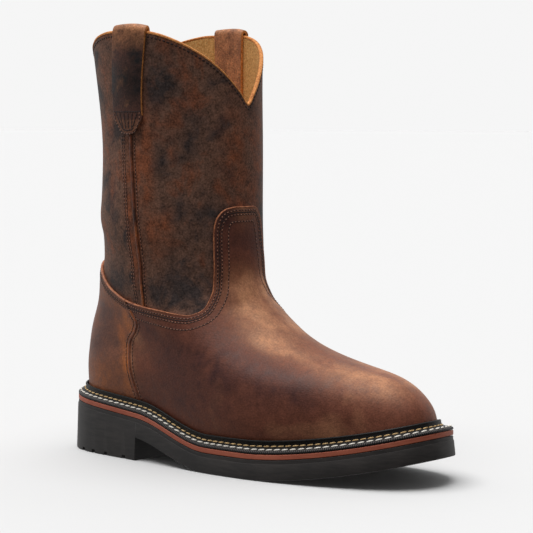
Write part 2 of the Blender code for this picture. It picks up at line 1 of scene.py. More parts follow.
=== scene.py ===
"""Western pull-on work boot, right foot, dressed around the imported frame.

+X runs to the toe, +Y to the inner side of the foot and +Z up. Sizes are in
millimetres and become metres where a mesh is made. Everything on the upper is
worked out from one skin, a function of a turn round the foot (0 at the toe or
shin, 1 and -1 at the back, negative on the outer side) and of a level, which
climbs from the feather line to the collar.
"""
import logging
import math
from collections.abc import Callable, Sequence
from dataclasses import dataclass, field
from enum import Enum

import bmesh
import bpy
import numpy as np
from mathutils import Matrix, Vector


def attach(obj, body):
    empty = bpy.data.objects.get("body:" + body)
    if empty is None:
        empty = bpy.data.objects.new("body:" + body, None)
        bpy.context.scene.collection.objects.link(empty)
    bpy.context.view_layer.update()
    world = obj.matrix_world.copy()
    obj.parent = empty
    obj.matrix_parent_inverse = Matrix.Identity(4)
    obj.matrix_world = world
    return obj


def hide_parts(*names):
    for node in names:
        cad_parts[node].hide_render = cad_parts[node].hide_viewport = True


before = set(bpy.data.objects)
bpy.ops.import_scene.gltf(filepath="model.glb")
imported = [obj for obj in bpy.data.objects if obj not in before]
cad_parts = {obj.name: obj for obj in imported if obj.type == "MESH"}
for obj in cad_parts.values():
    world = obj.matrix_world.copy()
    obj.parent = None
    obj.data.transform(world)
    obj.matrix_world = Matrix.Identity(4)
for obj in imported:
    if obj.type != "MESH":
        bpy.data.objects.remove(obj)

MM = 0.001
BEAD_SIDES = 10
LOG = logging.getLogger("boot")
Array = np.ndarray


class Side(Enum):
    """The two sides of the foot, as the sign of a turn."""

    OUTER = -1.0
    INNER = 1.0

    @property
    def label(self) -> str:
        """Word that ends a piece's name."""
        return self.name.lower()


class Face(Enum):
    """Which finish a face of a mesh takes, as its material index."""

    SKIN = 0
    EDGE = 1
    LINING = 2
    # a cut edge given the dark strap leather in place of its raw orange: painted shade
    PAINTED_SHADE = 3


class Tint(Enum):
    """The two tints laid on the leather, for stains and for painted highlight and painted shade, as
    the name of their attribute.
    """

    GLOW = "glow"
    DUSK = "dusk"


class Leg(Enum):
    """The three stretches of a pull strap, from its tab to its hidden end."""

    OUTSIDE = 0
    ARCH = 1
    INSIDE = 2


# Small tools


def linear(colour: str) -> tuple[float, float, float, float]:
    """Turn an sRGB hex colour to linear RGBA.

    Args:
        colour: Hex colour such as "#6b4433".

    Returns:
        Linear red, green, blue and an alpha of 1.
    """
    parts = [int(colour[i:i + 2], 16) / 255 for i in (1, 3, 5)]
    red, green, blue = (part / 12.92 if part <= 0.04045 else ((part + 0.055) / 1.055) ** 2.4
                        for part in parts)
    return red, green, blue, 1.0


def add_node(tree: bpy.types.NodeTree, kind: str, settings: dict | None = None,
             values: dict | None = None, links: dict | None = None,
             stops: Sequence[tuple[float, str]] = ()) -> bpy.types.Node:
    """Add a node with its settings and links.

    Args:
        tree: Tree that takes the node.
        kind: Node's type name.
        settings: Properties to set, by name.
        values: Input values to set, by input name or number.
        links: Output sockets to join to inputs, by input name or number.
        stops: Places and hex colours of a colour ramp.

    Returns:
        The new node.
    """
    node = tree.nodes.new(kind)
    for key, value in (settings or {}).items():
        setattr(node, key, value)
    for key, value in (values or {}).items():
        node.inputs[key].default_value = value
    for key, socket in (links or {}).items():
        tree.links.new(socket, node.inputs[key])
    for place, (position, colour) in enumerate(stops):
        ramp = node.color_ramp.elements
        element = ramp[place] if place < 2 else ramp.new(position)
        element.position = position
        element.color = linear(colour)
    return node


def natural_spline(knots: Sequence[float], values: Sequence) -> Callable[[Array], Array]:
    """Natural cubic through rows of values.

    Args:
        knots: Places along the axis, rising.
        values: A number or a row of numbers for each knot.

    Returns:
        A function that reads the curve at any places.
    """
    knots = np.asarray(knots, float)
    values = np.asarray(values, float)
    count = len(knots)
    step = np.diff(knots)
    matrix = np.eye(count)
    right = np.zeros((count,) + values.shape[1:])
    for i in range(1, count - 1):
        matrix[i, i - 1:i + 2] = [step[i - 1], 2 * (step[i - 1] + step[i]), step[i]]
        rise = (values[i + 1] - values[i]) / step[i]
        right[i] = 6 * (rise - (values[i] - values[i - 1]) / step[i - 1])
    bend = np.linalg.solve(matrix, right.reshape(count, -1)).reshape(right.shape)

    def curve(at: Array) -> Array:
        """Read the curve.

        Args:
            at: Places along the axis.

        Returns:
            The value, or the row of values, at each place.
        """
        at = np.asarray(at, float)
        i = np.clip(np.searchsorted(knots, at) - 1, 0, count - 2)
        width, before, after = step[i], knots[i + 1] - at, at - knots[i]
        if values.ndim > 1:
            width, before, after = width[..., None], before[..., None], after[..., None]
        cubic = (bend[i] * before ** 3 + bend[i + 1] * after ** 3) / (6 * width)
        low = (values[i] / width - bend[i] * width / 6) * before
        high = (values[i + 1] / width - bend[i + 1] * width / 6) * after
        return cubic + low + high

    return curve


def read_table(at: Array, knots: Sequence[float], values: Sequence[float]) -> Array:
    """Smooth reading of a table that never overshoots its rows.

    Args:
        at: Places to read.
        knots: Places of the rows, rising.
        values: Value of each row.

    Returns:
        The value at each place.
    """
    knots = np.asarray(knots, float)
    values = np.asarray(values, float)
    slope = np.gradient(values, knots)
    secant = np.diff(values) / np.diff(knots)
    slope[0] = 0.0
    for i in range(1, len(knots) - 1):
        limit = 3 * min(abs(secant[i - 1]), abs(secant[i]))
        slope[i] = 0.0 if secant[i - 1] * secant[i] <= 0 else max(-limit, min(limit, slope[i]))
    at = np.asarray(at, float)
    i = np.clip(np.searchsorted(knots, at) - 1, 0, len(knots) - 2)
    width = knots[i + 1] - knots[i]
    t = np.clip((at - knots[i]) / width, 0.0, 1.0)
    low = values[i] * (1 + 2 * t) * (1 - t) ** 2 + slope[i] * width * t * (1 - t) ** 2
    high = values[i + 1] * t * t * (3 - 2 * t) + slope[i + 1] * width * t * t * (t - 1)
    return low + high


def unit(vectors: Array) -> Array:
    """Vectors of length 1 in the same directions."""
    return vectors / np.linalg.norm(vectors, axis=-1, keepdims=True)


def ring_outward(ring: Array) -> Array:
    """Directions square to a flat closed ring, pointing out.

    Args:
        ring: Points of the ring, x and y.

    Returns:
        A unit vector for each point.
    """
    along = unit(np.roll(ring, -1, axis=0) - np.roll(ring, 1, axis=0))
    outward = np.stack([along[:, 1], -along[:, 0]], -1)
    return outward * np.sign(np.sum(outward * (ring - ring.mean(axis=0))))


def reach_to(ring: Array, start: Array, direction: Array) -> Array:
    """How far rays run before they meet a ring round them.

    Args:
        ring: Points of the ring, x and y.
        start: Where each ray starts.
        direction: Unit direction of each ray.

    Returns:
        The length of each ray.
    """
    side = np.roll(ring, -1, axis=0) - ring
    reach = []
    for origin, ray in zip(start, direction):
        cross = ray[0] * side[:, 1] - ray[1] * side[:, 0]
        gap = ring - origin
        far = (gap[:, 0] * side[:, 1] - gap[:, 1] * side[:, 0]) / cross
        along = (gap[:, 0] * ray[1] - gap[:, 1] * ray[0]) / cross
        reach.append(far[(far > 0.0) & (along >= 0.0) & (along <= 1.0)].min())
    return np.array(reach)


def length_along(points: Array) -> Array:
    """Length of a path up to each of its points."""
    return np.concatenate([[0.0], np.cumsum(np.linalg.norm(np.diff(points, axis=0), axis=1))])


def even_steps(points: Array, pitch: float) -> Array:
    """Places at even steps along a path.

    Args:
        points: Points of the path.
        pitch: Wanted length of a step.

    Returns:
        Each place as a share of the path's index.
    """
    length = length_along(points)
    count = max(2, int(round(length[-1] / pitch)) + 1)
    return np.interp(np.linspace(0.0, length[-1], count), length, np.arange(len(points)))


# The last: every surface of the upper and the sole

# shares of the length, from the back to the toe, where widths are given
WIDTH_STATIONS = (0.0, 0.13, 0.38, 0.66, 0.86, 1.0)
# name, back x, back z, front x, front z, share of the sole's spring, six half widths
SECTIONS = (
    ("feather", -144.0, None, 142.0, None, 1.0, 65.0, 48.0, 37.5, 46.0, 49.5, 63.5),
    ("wall", -144.0, 60.0, 140.0, 47.0, 0.9, 67.5, 51.5, 41.0, 50.0, 50.5, 60.0),
    ("toe box", -142.5, 72.0, 132.0, 57.0, 0.8, 67.5, 53.0, 43.0, 51.0, 51.0, 55.0),
    ("toe top", -141.0, 82.0, 116.5, 66.0, 0.6, 65.5, 50.5, 43.0, 50.0, 48.0, 45.5),
    ("vamp", -139.0, 92.0, 89.5, 71.5, 0.3, 60.5, 48.5, 43.0, 47.0, 42.5, 39.0),
    ("low instep", -135.5, 103.0, 55.5, 80.5, 0.1, 54.5, 46.0, 43.0, 46.0, 40.5, 36.0),
    ("instep", -132.5, 114.0, 25.0, 97.0, 0.0, 50.5, 45.5, 44.0, 46.0, 41.5, 37.5),
    ("throat", -129.7, 127.0, 4.0, 117.0, 0.0, 51.0, 46.5, 46.0, 47.0, 44.0, 40.0),
    ("ankle", -126.5, 143.0, -2.5, 140.5, 0.0, 51.0, 48.5, 48.0, 48.5, 47.5, 45.0),
    ("shaft", -127.5, 170.0, -5.5, 170.0, 0.0, 52.5, 51.0, 51.5, 51.5, 51.0, 50.0),
    ("calf", -126.0, 215.0, -5.5, 215.0, 0.0, 52.0, 51.0, 51.5, 51.5, 51.0, 50.0),
    ("top band", -130.0, 260.0, -5.5, 260.0, 0.0, 53.5, 53.0, 53.0, 53.0, 51.5, 48.0),
    ("collar", -135.5, 300.0, -4.0, 300.0, 0.0, 55.5, 56.0, 55.0, 55.0, 53.0, 46.0),
)
# how far the foot leans to the outer side at each station, with less of it higher up
FOOT_SWING = (0.0, 0.0, 5.0, 1.0, -5.5, -13.0)
# half widths of the sole on its outer and inner side
SOLE_OUTER = (77.5, 58.5, 51.0, 57.0, 59.5, 66.0)
SOLE_INNER = (78.0, 59.0, 41.0, 55.0, 70.0, 90.0)
# height of the collar's edge at each turn, the same on both sides
COLLAR_TURN = (0.0, 0.05, 0.13, 0.20, 0.29, 0.39, 0.48, 0.57, 0.66, 0.75, 0.88, 1.0)
COLLAR_HEIGHT = (247, 255, 268, 278, 288, 295, 296.5, 296.5, 294, 288.5, 280, 277)
# height of the top line of vamp and counter at each turn of the outer side
FOXING_TURN = (0.0, 0.06, 0.10, 0.13, 0.154, 0.169, 0.179, 0.186, 0.193, 0.200, 0.210, 0.223,
               0.243, 0.268, 0.296, 0.324, 0.350, 0.372, 0.396, 0.457, 0.515, 0.576, 0.613,
               0.645, 0.70, 0.76, 0.83, 0.91, 1.0)
FOXING_HEIGHT = (177, 177, 176.5, 175, 171.5, 167, 160.5, 152, 143.5, 135.5, 128, 121.5,
                 116.5, 112, 108, 105.5, 104, 103.2, 103.6, 106, 107.7, 109.8, 111.8,
                 114.5, 119.5, 126.5, 132.5, 136.5, 138)
# the tab's inner edge is nearer to the middle of the shin than its outer edge
FOXING_TURN_INNER = (0.0, 0.02, 0.035, 0.05, 0.068, 0.08, 0.089, 0.095, 0.101, 0.107, 0.116,
                     0.130, 0.152, 0.18, 0.22, 0.26, 0.295, 0.325, 0.355, 0.44, 0.515, 0.576,
                     0.613, 0.645, 0.70, 0.76, 0.83, 0.91, 1.0)
# turns where the foot's and the shaft's side seams and the pull straps run
FOOT_SEAM_LEVEL = (0.0, 0.4, 1.1, 2.4, 3.7, 4.6, 5.2, 9.0)
FOOT_SEAM_TURN = (0.665, 0.668, 0.675, 0.679, 0.662, 0.621, 0.600, 0.600)
SHAFT_SEAM_HEIGHT = (108.0, 113.0, 120.0, 130.0, 145.0, 163.0, 191.0, 216.0, 300.0)
SHAFT_SEAM_TURN = (0.524, 0.511, 0.498, 0.492, 0.490, 0.485, 0.495, 0.506, 0.500)
STRAP_HEIGHT = (225.0, 240.0, 300.0)
STRAP_TURN = (0.510, 0.514, 0.479)

# Soft troughs (negative) and ridges: turn, height, half length as a
# turn, half width, rise along the turn, depth. Heights and depths in millimetres.
CREASES = (
    (-0.10, 128.0, 0.20, 7.0, 30.0, -0.9),
    (0.12, 126.0, 0.20, 7.0, -30.0, -0.8),
    (-0.13, 112.0, 0.15, 4.5, 60.0, -0.7),
    (-0.08, 119.0, 0.12, 4.0, 40.0, 0.5),
    (0.15, 113.0, 0.16, 5.0, -50.0, -0.7),
    (-0.17, 103.0, 0.10, 3.5, 70.0, -0.5),
    (-0.74, 150.0, 0.16, 9.0, -70.0, -1.0),
    (-0.80, 168.0, 0.16, 10.0, -50.0, 0.8),
    (0.76, 152.0, 0.18, 9.0, 60.0, -1.0),
    (-0.36, 140.0, 0.14, 12.0, 40.0, -0.7),
    (-0.30, 205.0, 0.10, 30.0, 120.0, -0.8),
    (-0.62, 200.0, 0.07, 34.0, -60.0, -0.7),
    (0.35, 190.0, 0.12, 30.0, -90.0, -0.9),
    (-0.22, 84.0, 0.10, 5.0, 90.0, -0.4),
    (0.24, 82.0, 0.12, 5.0, -90.0, -0.5),
)


@dataclass
class BootLast:
    """The form that the boot is made on, with the sole's lines.

    Every surface of the boot is read from here.
    """

    sole_length: float = 308.0
    breast_x: float = -70.0
    heel_front: float = 16.0
    heel_back: float = 22.8
    arch_end_x: float = 1.0
    tread_end_x: float = 34.0
    toe_spring: float = 19.0
    outsole_top: float = 13.3
    midsole_bottom: float = 13.6
    midsole_top: float = 17.0
    welt_bottom: float = 17.3
    seat_height: float = 21.5
    wall: float = 2.2
    swing_fade: float = 4.0

    def __post_init__(self) -> None:
        """Fit the curves through the section tables."""
        rows = []
        for _, back_x, back_z, front_x, front_z, follow, *full in SECTIONS:
            back_z = float(self.seat(back_x)) if back_z is None else back_z
            front_z = float(self.seat(front_x)) if front_z is None else front_z
            rows.append([back_x, back_z, front_x, front_z, follow, *full])
        self.top_level = float(len(rows) - 1)
        self.section = natural_spline(range(len(rows)), rows)
        self.swing = natural_spline(WIDTH_STATIONS, FOOT_SWING)
        self.station = [natural_spline(WIDTH_STATIONS, row) for row in np.eye(len(WIDTH_STATIONS))]
        self.sole_side = {Side.OUTER: natural_spline(WIDTH_STATIONS, SOLE_OUTER),
                          Side.INNER: natural_spline(WIDTH_STATIONS, SOLE_INNER)}

    def underside(self, x: Array) -> Array:
        """Height of the sole's underside over the floor, as if the heel were off.

        Args:
            x: Places along the sole.

        Returns:
            The height at each place.
        """
        x = np.asarray(x, float)
        back = -self.sole_length / 2
        slope = (self.breast_x - x) / (self.breast_x - back)
        heel = self.heel_front + (self.heel_back - self.heel_front) * slope
        t = np.clip((x - self.breast_x) / (self.arch_end_x - self.breast_x), 0.0, 1.0)
        # the waist leaves the heel at the heel's own slope
        fall = (self.heel_front - self.heel_back) / (self.breast_x - back)
        waist = self.heel_front * (1.0 - t * t * (3.0 - 2.0 * t))
        waist = waist + fall * (x - self.breast_x) * (1.0 - t) ** 2
        reach = self.sole_length / 2 - self.tread_end_x
        forward = np.clip((x - self.tread_end_x) / reach, 0.0, 2.0)
        return np.where(x < self.breast_x, heel, waist) + self.toe_spring * forward ** 1.7

    def seat(self, x: Array) -> Array:
        """Height of the feather line, where the upper meets the welt."""
        return self.underside(x) + self.seat_height

    def skin(self, turn: Array, level: Array) -> Array:
        """Points on the skin of the upper.

        Args:
            turn: Turns round the foot.
            level: Levels between feather line and collar.

        Returns:
            Points in millimetres, with a last axis of x, y and z.
        """
        turn, level = np.broadcast_arrays(np.asarray(turn, float), np.asarray(level, float))
        turn = (turn + 1.0) % 2.0 - 1.0
        share = (1.0 + np.cos(math.pi * turn)) / 2.0
        row = self.section(level)
        x = row[..., 0] + (row[..., 2] - row[..., 0]) * share
        chord = self.seat(row[..., 0]) * (1.0 - share) + self.seat(row[..., 2]) * share
        z = row[..., 1] + (row[..., 3] - row[..., 1]) * share
        z = z + row[..., 4] * (self.seat(x) - chord)
        full = sum(row[..., 5 + k] * curve(share) for k, curve in enumerate(self.station))
        fade = np.exp(-(level / self.swing_fade) ** 2)
        full = full + np.where(turn < 0.0, 1.0, -1.0) * self.swing(share) * fade
        return np.stack([x, np.sin(math.pi * turn) * full, z], -1)

    def skin_frame(self, turn: Array, level: Array) -> tuple[Array, Array, Array, Array]:
        """The skin at a place, and how it lies.

        Args:
            turn: Turns round the foot.
            level: Levels between feather line and collar.

        Returns:
            Point, outward normal, and slopes per unit of turn and per level.
        """
        e = 0.002
        point = self.skin(turn, level)
        along = (self.skin(turn + e, level) - self.skin(turn - e, level)) / (2 * e)
        climb = (self.skin(turn, level + e) - self.skin(turn, level - e)) / (2 * e)
        normal = np.cross(along, climb)
        normal[..., 2] = normal[..., 2] * np.clip(np.asarray(level, float), 0.0, 1.0)
        return point, unit(normal), along, climb

    def relief(self, turn: Array, height: Array) -> Array:
        """How far the creases lift or sink the leather.

        Args:
            turn: Turns round the foot.
            height: Heights over the floor.

        Returns:
            The change of depth at each place.
        """
        turn = (np.asarray(turn, float) + 1.0) % 2.0 - 1.0
        total = np.zeros(np.broadcast(turn, height).shape)
        for centre, level, half_turn, half_width, rise, depth in CREASES:
            across = (turn - centre) / half_turn
            off = (height - level - rise * (turn - centre)) / half_width
            total += depth * np.exp(-off ** 2) * np.exp(-across ** 2 * 2.0)
        return total

    def on_skin(self, turn: Array, level: Array, depth: Array) -> Array:
        """Points at a depth over the skin, creases and all.

        Args:
            turn: Turns round the foot.
            level: Levels between feather line and collar.
            depth: Millimetres outside the skin; a negative one is inside the wall.

        Returns:
            Points in millimetres.
        """
        turn, level = np.broadcast_arrays(np.asarray(turn, float), np.asarray(level, float))
        point, normal, _, _ = self.skin_frame(turn, level)
        depth = np.asarray(depth, float) + self.relief(turn, point[..., 2])
        moved = point + normal * depth[..., None]
        near_welt = 1.0 - np.clip(level, 0.0, 1.0)
        moved[..., 2] += near_welt * (self.seat(moved[..., 0]) - self.seat(point[..., 0]))
        return moved

    def level_at(self, turn: Array, height: Array) -> Array:
        """Level where the skin reaches a height, found by halving.

        Args:
            turn: Turns round the foot.
            height: Heights over the floor.

        Returns:
            The level at each place.
        """
        turn, height = np.broadcast_arrays(np.asarray(turn, float), np.asarray(height, float))
        low = np.zeros(turn.shape)
        high = np.full(turn.shape, self.top_level)
        for _ in range(26):
            middle = (low + high) / 2
            below = self.skin(turn, middle)[..., 2] < height
            low, high = np.where(below, middle, low), np.where(below, high, middle)
        return (low + high) / 2

    def walk(self, turn: Array, level: Array, heading: Array,
             distance: float) -> tuple[Array, Array]:
        """Walk over the skin from places, each along its own direction.

        Args:
            turn: Turns to start from.
            level: Levels to start from.
            heading: Unit directions in space.
            distance: Millimetres to walk.

        Returns:
            Turns and levels at the end of the walk.
        """
        turn, level = np.array(turn, float), np.array(level, float)
        steps = 6
        for _ in range(steps):
            _, _, along, climb = self.skin_frame(turn, level)
            aa, bb = np.sum(along * along, -1), np.sum(climb * climb, -1)
            ab = np.sum(along * climb, -1)
            ah, bh = np.sum(along * heading, -1), np.sum(climb * heading, -1)
            det = aa * bb - ab * ab
            move = distance / steps
            turn = turn + move * (bb * ah - ab * bh) / det
            level = np.clip(level + move * (aa * bh - ab * ah) / det, 0.0, self.top_level)
        return turn, level

    def collar_height(self, turn: Array) -> Array:
        """Height of the collar's edge at a turn."""
        turn = np.abs((np.asarray(turn, float) + 1.0) % 2.0 - 1.0)
        return read_table(turn, COLLAR_TURN, COLLAR_HEIGHT)

    def foxing_height(self, turn: Array) -> Array:
        """Height of the top line of vamp and counter.

        Args:
            turn: Turns round the foot.

        Returns:
            The height at each turn.
        """
        turn = (np.asarray(turn, float) + 1.0) % 2.0 - 1.0
        inner = read_table(turn, FOXING_TURN_INNER, FOXING_HEIGHT)
        return np.where(turn > 0.0, inner, read_table(-turn, FOXING_TURN, FOXING_HEIGHT))

    def sole_ring(self, turn: Array, height: float, spread: float = 0.0) -> Array:
        """Ring of the sole's outline at a height over the underside.

        Args:
            turn: Turns round the foot.
            height: Height over the underside.
            spread: Millimetres that it stands out from the outline.

        Returns:
            Points in millimetres.
        """
        share = (1.0 + np.cos(math.pi * turn)) / 2.0
        outer = self.sole_side[Side.OUTER](share)
        full = np.where(turn < 0.0, outer, self.sole_side[Side.INNER](share))
        x = self.sole_length * (share - 0.5)
        ring = np.stack([x, np.sin(math.pi * turn) * full], -1)
        wide = ring + ring_outward(ring) * spread
        return np.column_stack([wide, self.underside(x) + height])


def even_turns(count: int) -> Array:
    """Turns round a foot's outline, spread evenly along it."""
    even = np.arange(count) * 2.0 / count
    return even + 0.3 * np.sin(2 * math.pi * even) / (2 * math.pi)


# Meshes


@dataclass
class Sketch:
    """A mesh in the making: points in millimetres, faces and their finishes."""

    points: list[Array] = field(default_factory=list)
    faces: list[tuple[int, ...]] = field(default_factory=list)
    kinds: list[int] = field(default_factory=list)
    marks: dict[str, list[Array]] = field(default_factory=dict)
    size: int = 0

    def add_points(self, points: Array, **marks: Array) -> int:
        """Add points and their marks.

        Args:
            points: Points, with a last axis of three.
            marks: A number for each point, by attribute name.

        Returns:
            The number of the first point added.
        """
        flat = np.asarray(points, float).reshape(-1, 3)
        first = self.size
        self.points.append(flat)
        self.size += len(flat)
        for name, values in marks.items():
            self.marks.setdefault(name, []).append(np.asarray(values, float).ravel())
        return first

    def add_grid(self, rows: int, columns: int, first: int, closed: bool,
                 kind: Face = Face.SKIN) -> None:
        """Add the faces of a grid of points.

        Args:
            rows: Number of rows.
            columns: Points in a row.
            first: Number of the first point.
            closed: Whether each row joins up.
            kind: Finish of the faces.
        """
        for i in range(rows - 1):
            for j in range(columns if closed else columns - 1):
                k = (j + 1) % columns
                row, above = first + i * columns, first + (i + 1) * columns
                self.faces.append((row + j, row + k, above + k, above + j))
                self.kinds.append(kind.value)

    def add_between(self, ring_a: Sequence[int], ring_b: Sequence[int],
                    kind: Face = Face.EDGE) -> None:
        """Add the faces between two closed rings.

        Args:
            ring_a: Point numbers of one ring.
            ring_b: Point numbers of the other.
            kind: Finish of the faces.
        """
        count = len(ring_a)
        for j in range(count):
            k = (j + 1) % count
            self.faces.append((ring_a[j], ring_a[k], ring_b[k], ring_b[j]))
            self.kinds.append(kind.value)

    def add_cap(self, ring: Sequence[int]) -> None:
        """Close a small ring with one face."""
        self.faces.append(tuple(ring))
        self.kinds.append(Face.SKIN.value)

    def add_tube(self, rings: Array, joined: bool, **marks: Array) -> None:
        """Add a tube, or a closed hoop.

        Args:
            rings: Rings of points along it, the same number in each.
            joined: True joins the last ring to the first, False caps both ends.
            marks: A number for each point, by attribute name.
        """
        count, around = rings.shape[:2]
        first = self.add_points(rings, **marks)
        self.add_grid(count, around, first, True)
        end = first + (count - 1) * around
        if joined:
            self.add_between(range(end, end + around), range(first, first + around), Face.SKIN)
        else:
            self.add_cap(range(first, first + around))
            self.add_cap(range(end, end + around))

    def add_slab(self, front: Array, back: Array, back_kind: Face,
                 marks: dict[str, Array]) -> int:
        """Add a closed slab from the grids of its two faces.

        Args:
            front: Grid of points of the face that shows.
            back: Grid of points of the face behind it.
            back_kind: Finish of the face behind it.
            marks: A number for each point of a grid, by attribute name.

        Returns:
            The number of the first face of its rim.
        """
        rows, columns = front.shape[:2]
        first = self.add_points(front, **marks)
        second = self.add_points(back, **marks)
        self.add_grid(rows, columns, first, False)
        self.add_grid(rows, columns, second, False, back_kind)
        rim = list(range(columns))
        rim += [i * columns + columns - 1 for i in range(1, rows)]
        rim += [(rows - 1) * columns + j for j in range(columns - 2, -1, -1)]
        rim += [i * columns for i in range(rows - 2, 0, -1)]
        start = len(self.faces)
        self.add_between([first + k for k in rim], [second + k for k in rim])
        return start

    def build(self, name: str, materials: Sequence[bpy.types.Material],
              sharp: float = 50.0) -> bpy.types.Object:
        """Make the object.

        Args:
            name: Object's name.
            materials: Materials in the order of Face.
            sharp: Angle in degrees past which an edge stays sharp.

        Returns:
            The new object, at the origin.
        """
        mesh = bpy.data.meshes.new(name)
        points = np.concatenate(self.points) * MM
        mesh.from_pydata([tuple(p) for p in points], [], self.faces)
        for name_of, values in self.marks.items():
            layer = mesh.attributes.new(name_of, "FLOAT", "POINT")
            layer.data.foreach_set("value", np.concatenate(values).astype(np.float32))
        for material in materials:
            mesh.materials.append(material)
        mesh.polygons.foreach_set("material_index", self.kinds)
        work = bmesh.new()
        work.from_mesh(mesh)
        bmesh.ops.recalc_face_normals(work, faces=work.faces)
        work.to_mesh(mesh)
        work.free()
        mesh.shade_smooth()
        mesh.set_sharp_from_angle(angle=math.radians(sharp))
        thing = bpy.data.objects.new(name, mesh)
        bpy.context.scene.collection.objects.link(thing)
        return thing


def dress(thing: bpy.types.Object, slot: str, *nodes: str) -> bpy.types.Object:
    """Tie a piece to the boot's body and hide the frame's nodes that it stands for.

    Args:
        thing: The piece.
        slot: Not used.
        nodes: Nodes of the frame that it replaces.

    Returns:
        The piece.
    """
    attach(thing, "root")
    if nodes:
        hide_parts(*nodes)
    LOG.info("%s: %d faces", thing.name, len(thing.data.polygons))
    return thing


def plain_copy(thing: bpy.types.Object) -> None:
    """Turn an object's modifiers into its mesh.

    Args:
        thing: The object, which keeps its name.
    """
    graph = bpy.context.evaluated_depsgraph_get()
    mesh = bpy.data.meshes.new_from_object(thing.evaluated_get(graph), depsgraph=graph)
    thing.modifiers.clear()
    thing.data = mesh


def swept_bead(last: BootLast, name: str, turns: Array, levels: Array, width: float, low: float,
               high: float, material: bpy.types.Material,
               closed: bool = False) -> bpy.types.Object:
    """Round bead along a path on the skin.

    Args:
        last: The boot's last.
        name: Object's name.
        turns: Turns of the path.
        levels: Levels of the path.
        width: Width over the leather.
        low: Depth of its underside.
        high: Depth of its crown.
        material: Finish.
        closed: Whether the path joins up.

    Returns:
        The bead.
    """
    point, normal, _, _ = last.skin_frame(turns, levels)
    if closed:
        along = unit(np.roll(point, -1, axis=0) - np.roll(point, 1, axis=0))
    else:
        along = unit(np.gradient(point, axis=0))
    left = np.cross(normal, along)
    depth = last.relief(turns, point[:, 2])
    around = np.linspace(0.0, 2 * math.pi, BEAD_SIDES + 1)[:-1]
    across, rise = np.cos(around), np.sin(around)
    rings = point[:, None] + left[:, None] * (across * width / 2)[None, :, None]
    middle, half = (low + high) / 2, (high - low) / 2
    rings = rings + normal[:, None] * ((middle + rise * half)[None, :] + depth[:, None])[..., None]
    sketch = Sketch()
    sketch.add_tube(rings, closed)
    return sketch.build(name, [material], sharp=80.0)


# Finishes


@dataclass
class Recipe:
    """A material in the making: its tree, its shader and the place of each point."""

    name: str

    def __post_init__(self) -> None:
        """Start the material."""
        self.material = bpy.data.materials.new(self.name)
        self.material.use_nodes = True
        self.tree = self.material.node_tree
        self.shader = self.tree.nodes["Principled BSDF"]
        self.place = add_node(self.tree, "ShaderNodeTexCoord").outputs["Object"]

    def finish(self, colour: bpy.types.NodeSocket, height: bpy.types.NodeSocket, strength: float,
               depth_mm: float, plain: dict[str, float]) -> bpy.types.Material:
        """Join the colour and the relief to the shader.

        Args:
            colour: Output socket of the colour.
            height: Output socket of the relief.
            strength: Strength of the relief.
            depth_mm: Real depth of the relief.
            plain: Values of the shader that are the same all over, by name.

        Returns:
            The finished material.
        """
        bump = add_node(self.tree, "ShaderNodeBump", values={
            "Strength": strength, "Distance": depth_mm * MM}, links={"Height": height})
        self.tree.links.new(colour, self.shader.inputs["Base Color"])
        self.tree.links.new(bump.outputs["Normal"], self.shader.inputs["Normal"])
        for name, value in plain.items():
            self.shader.inputs[name].default_value = value
        return self.material


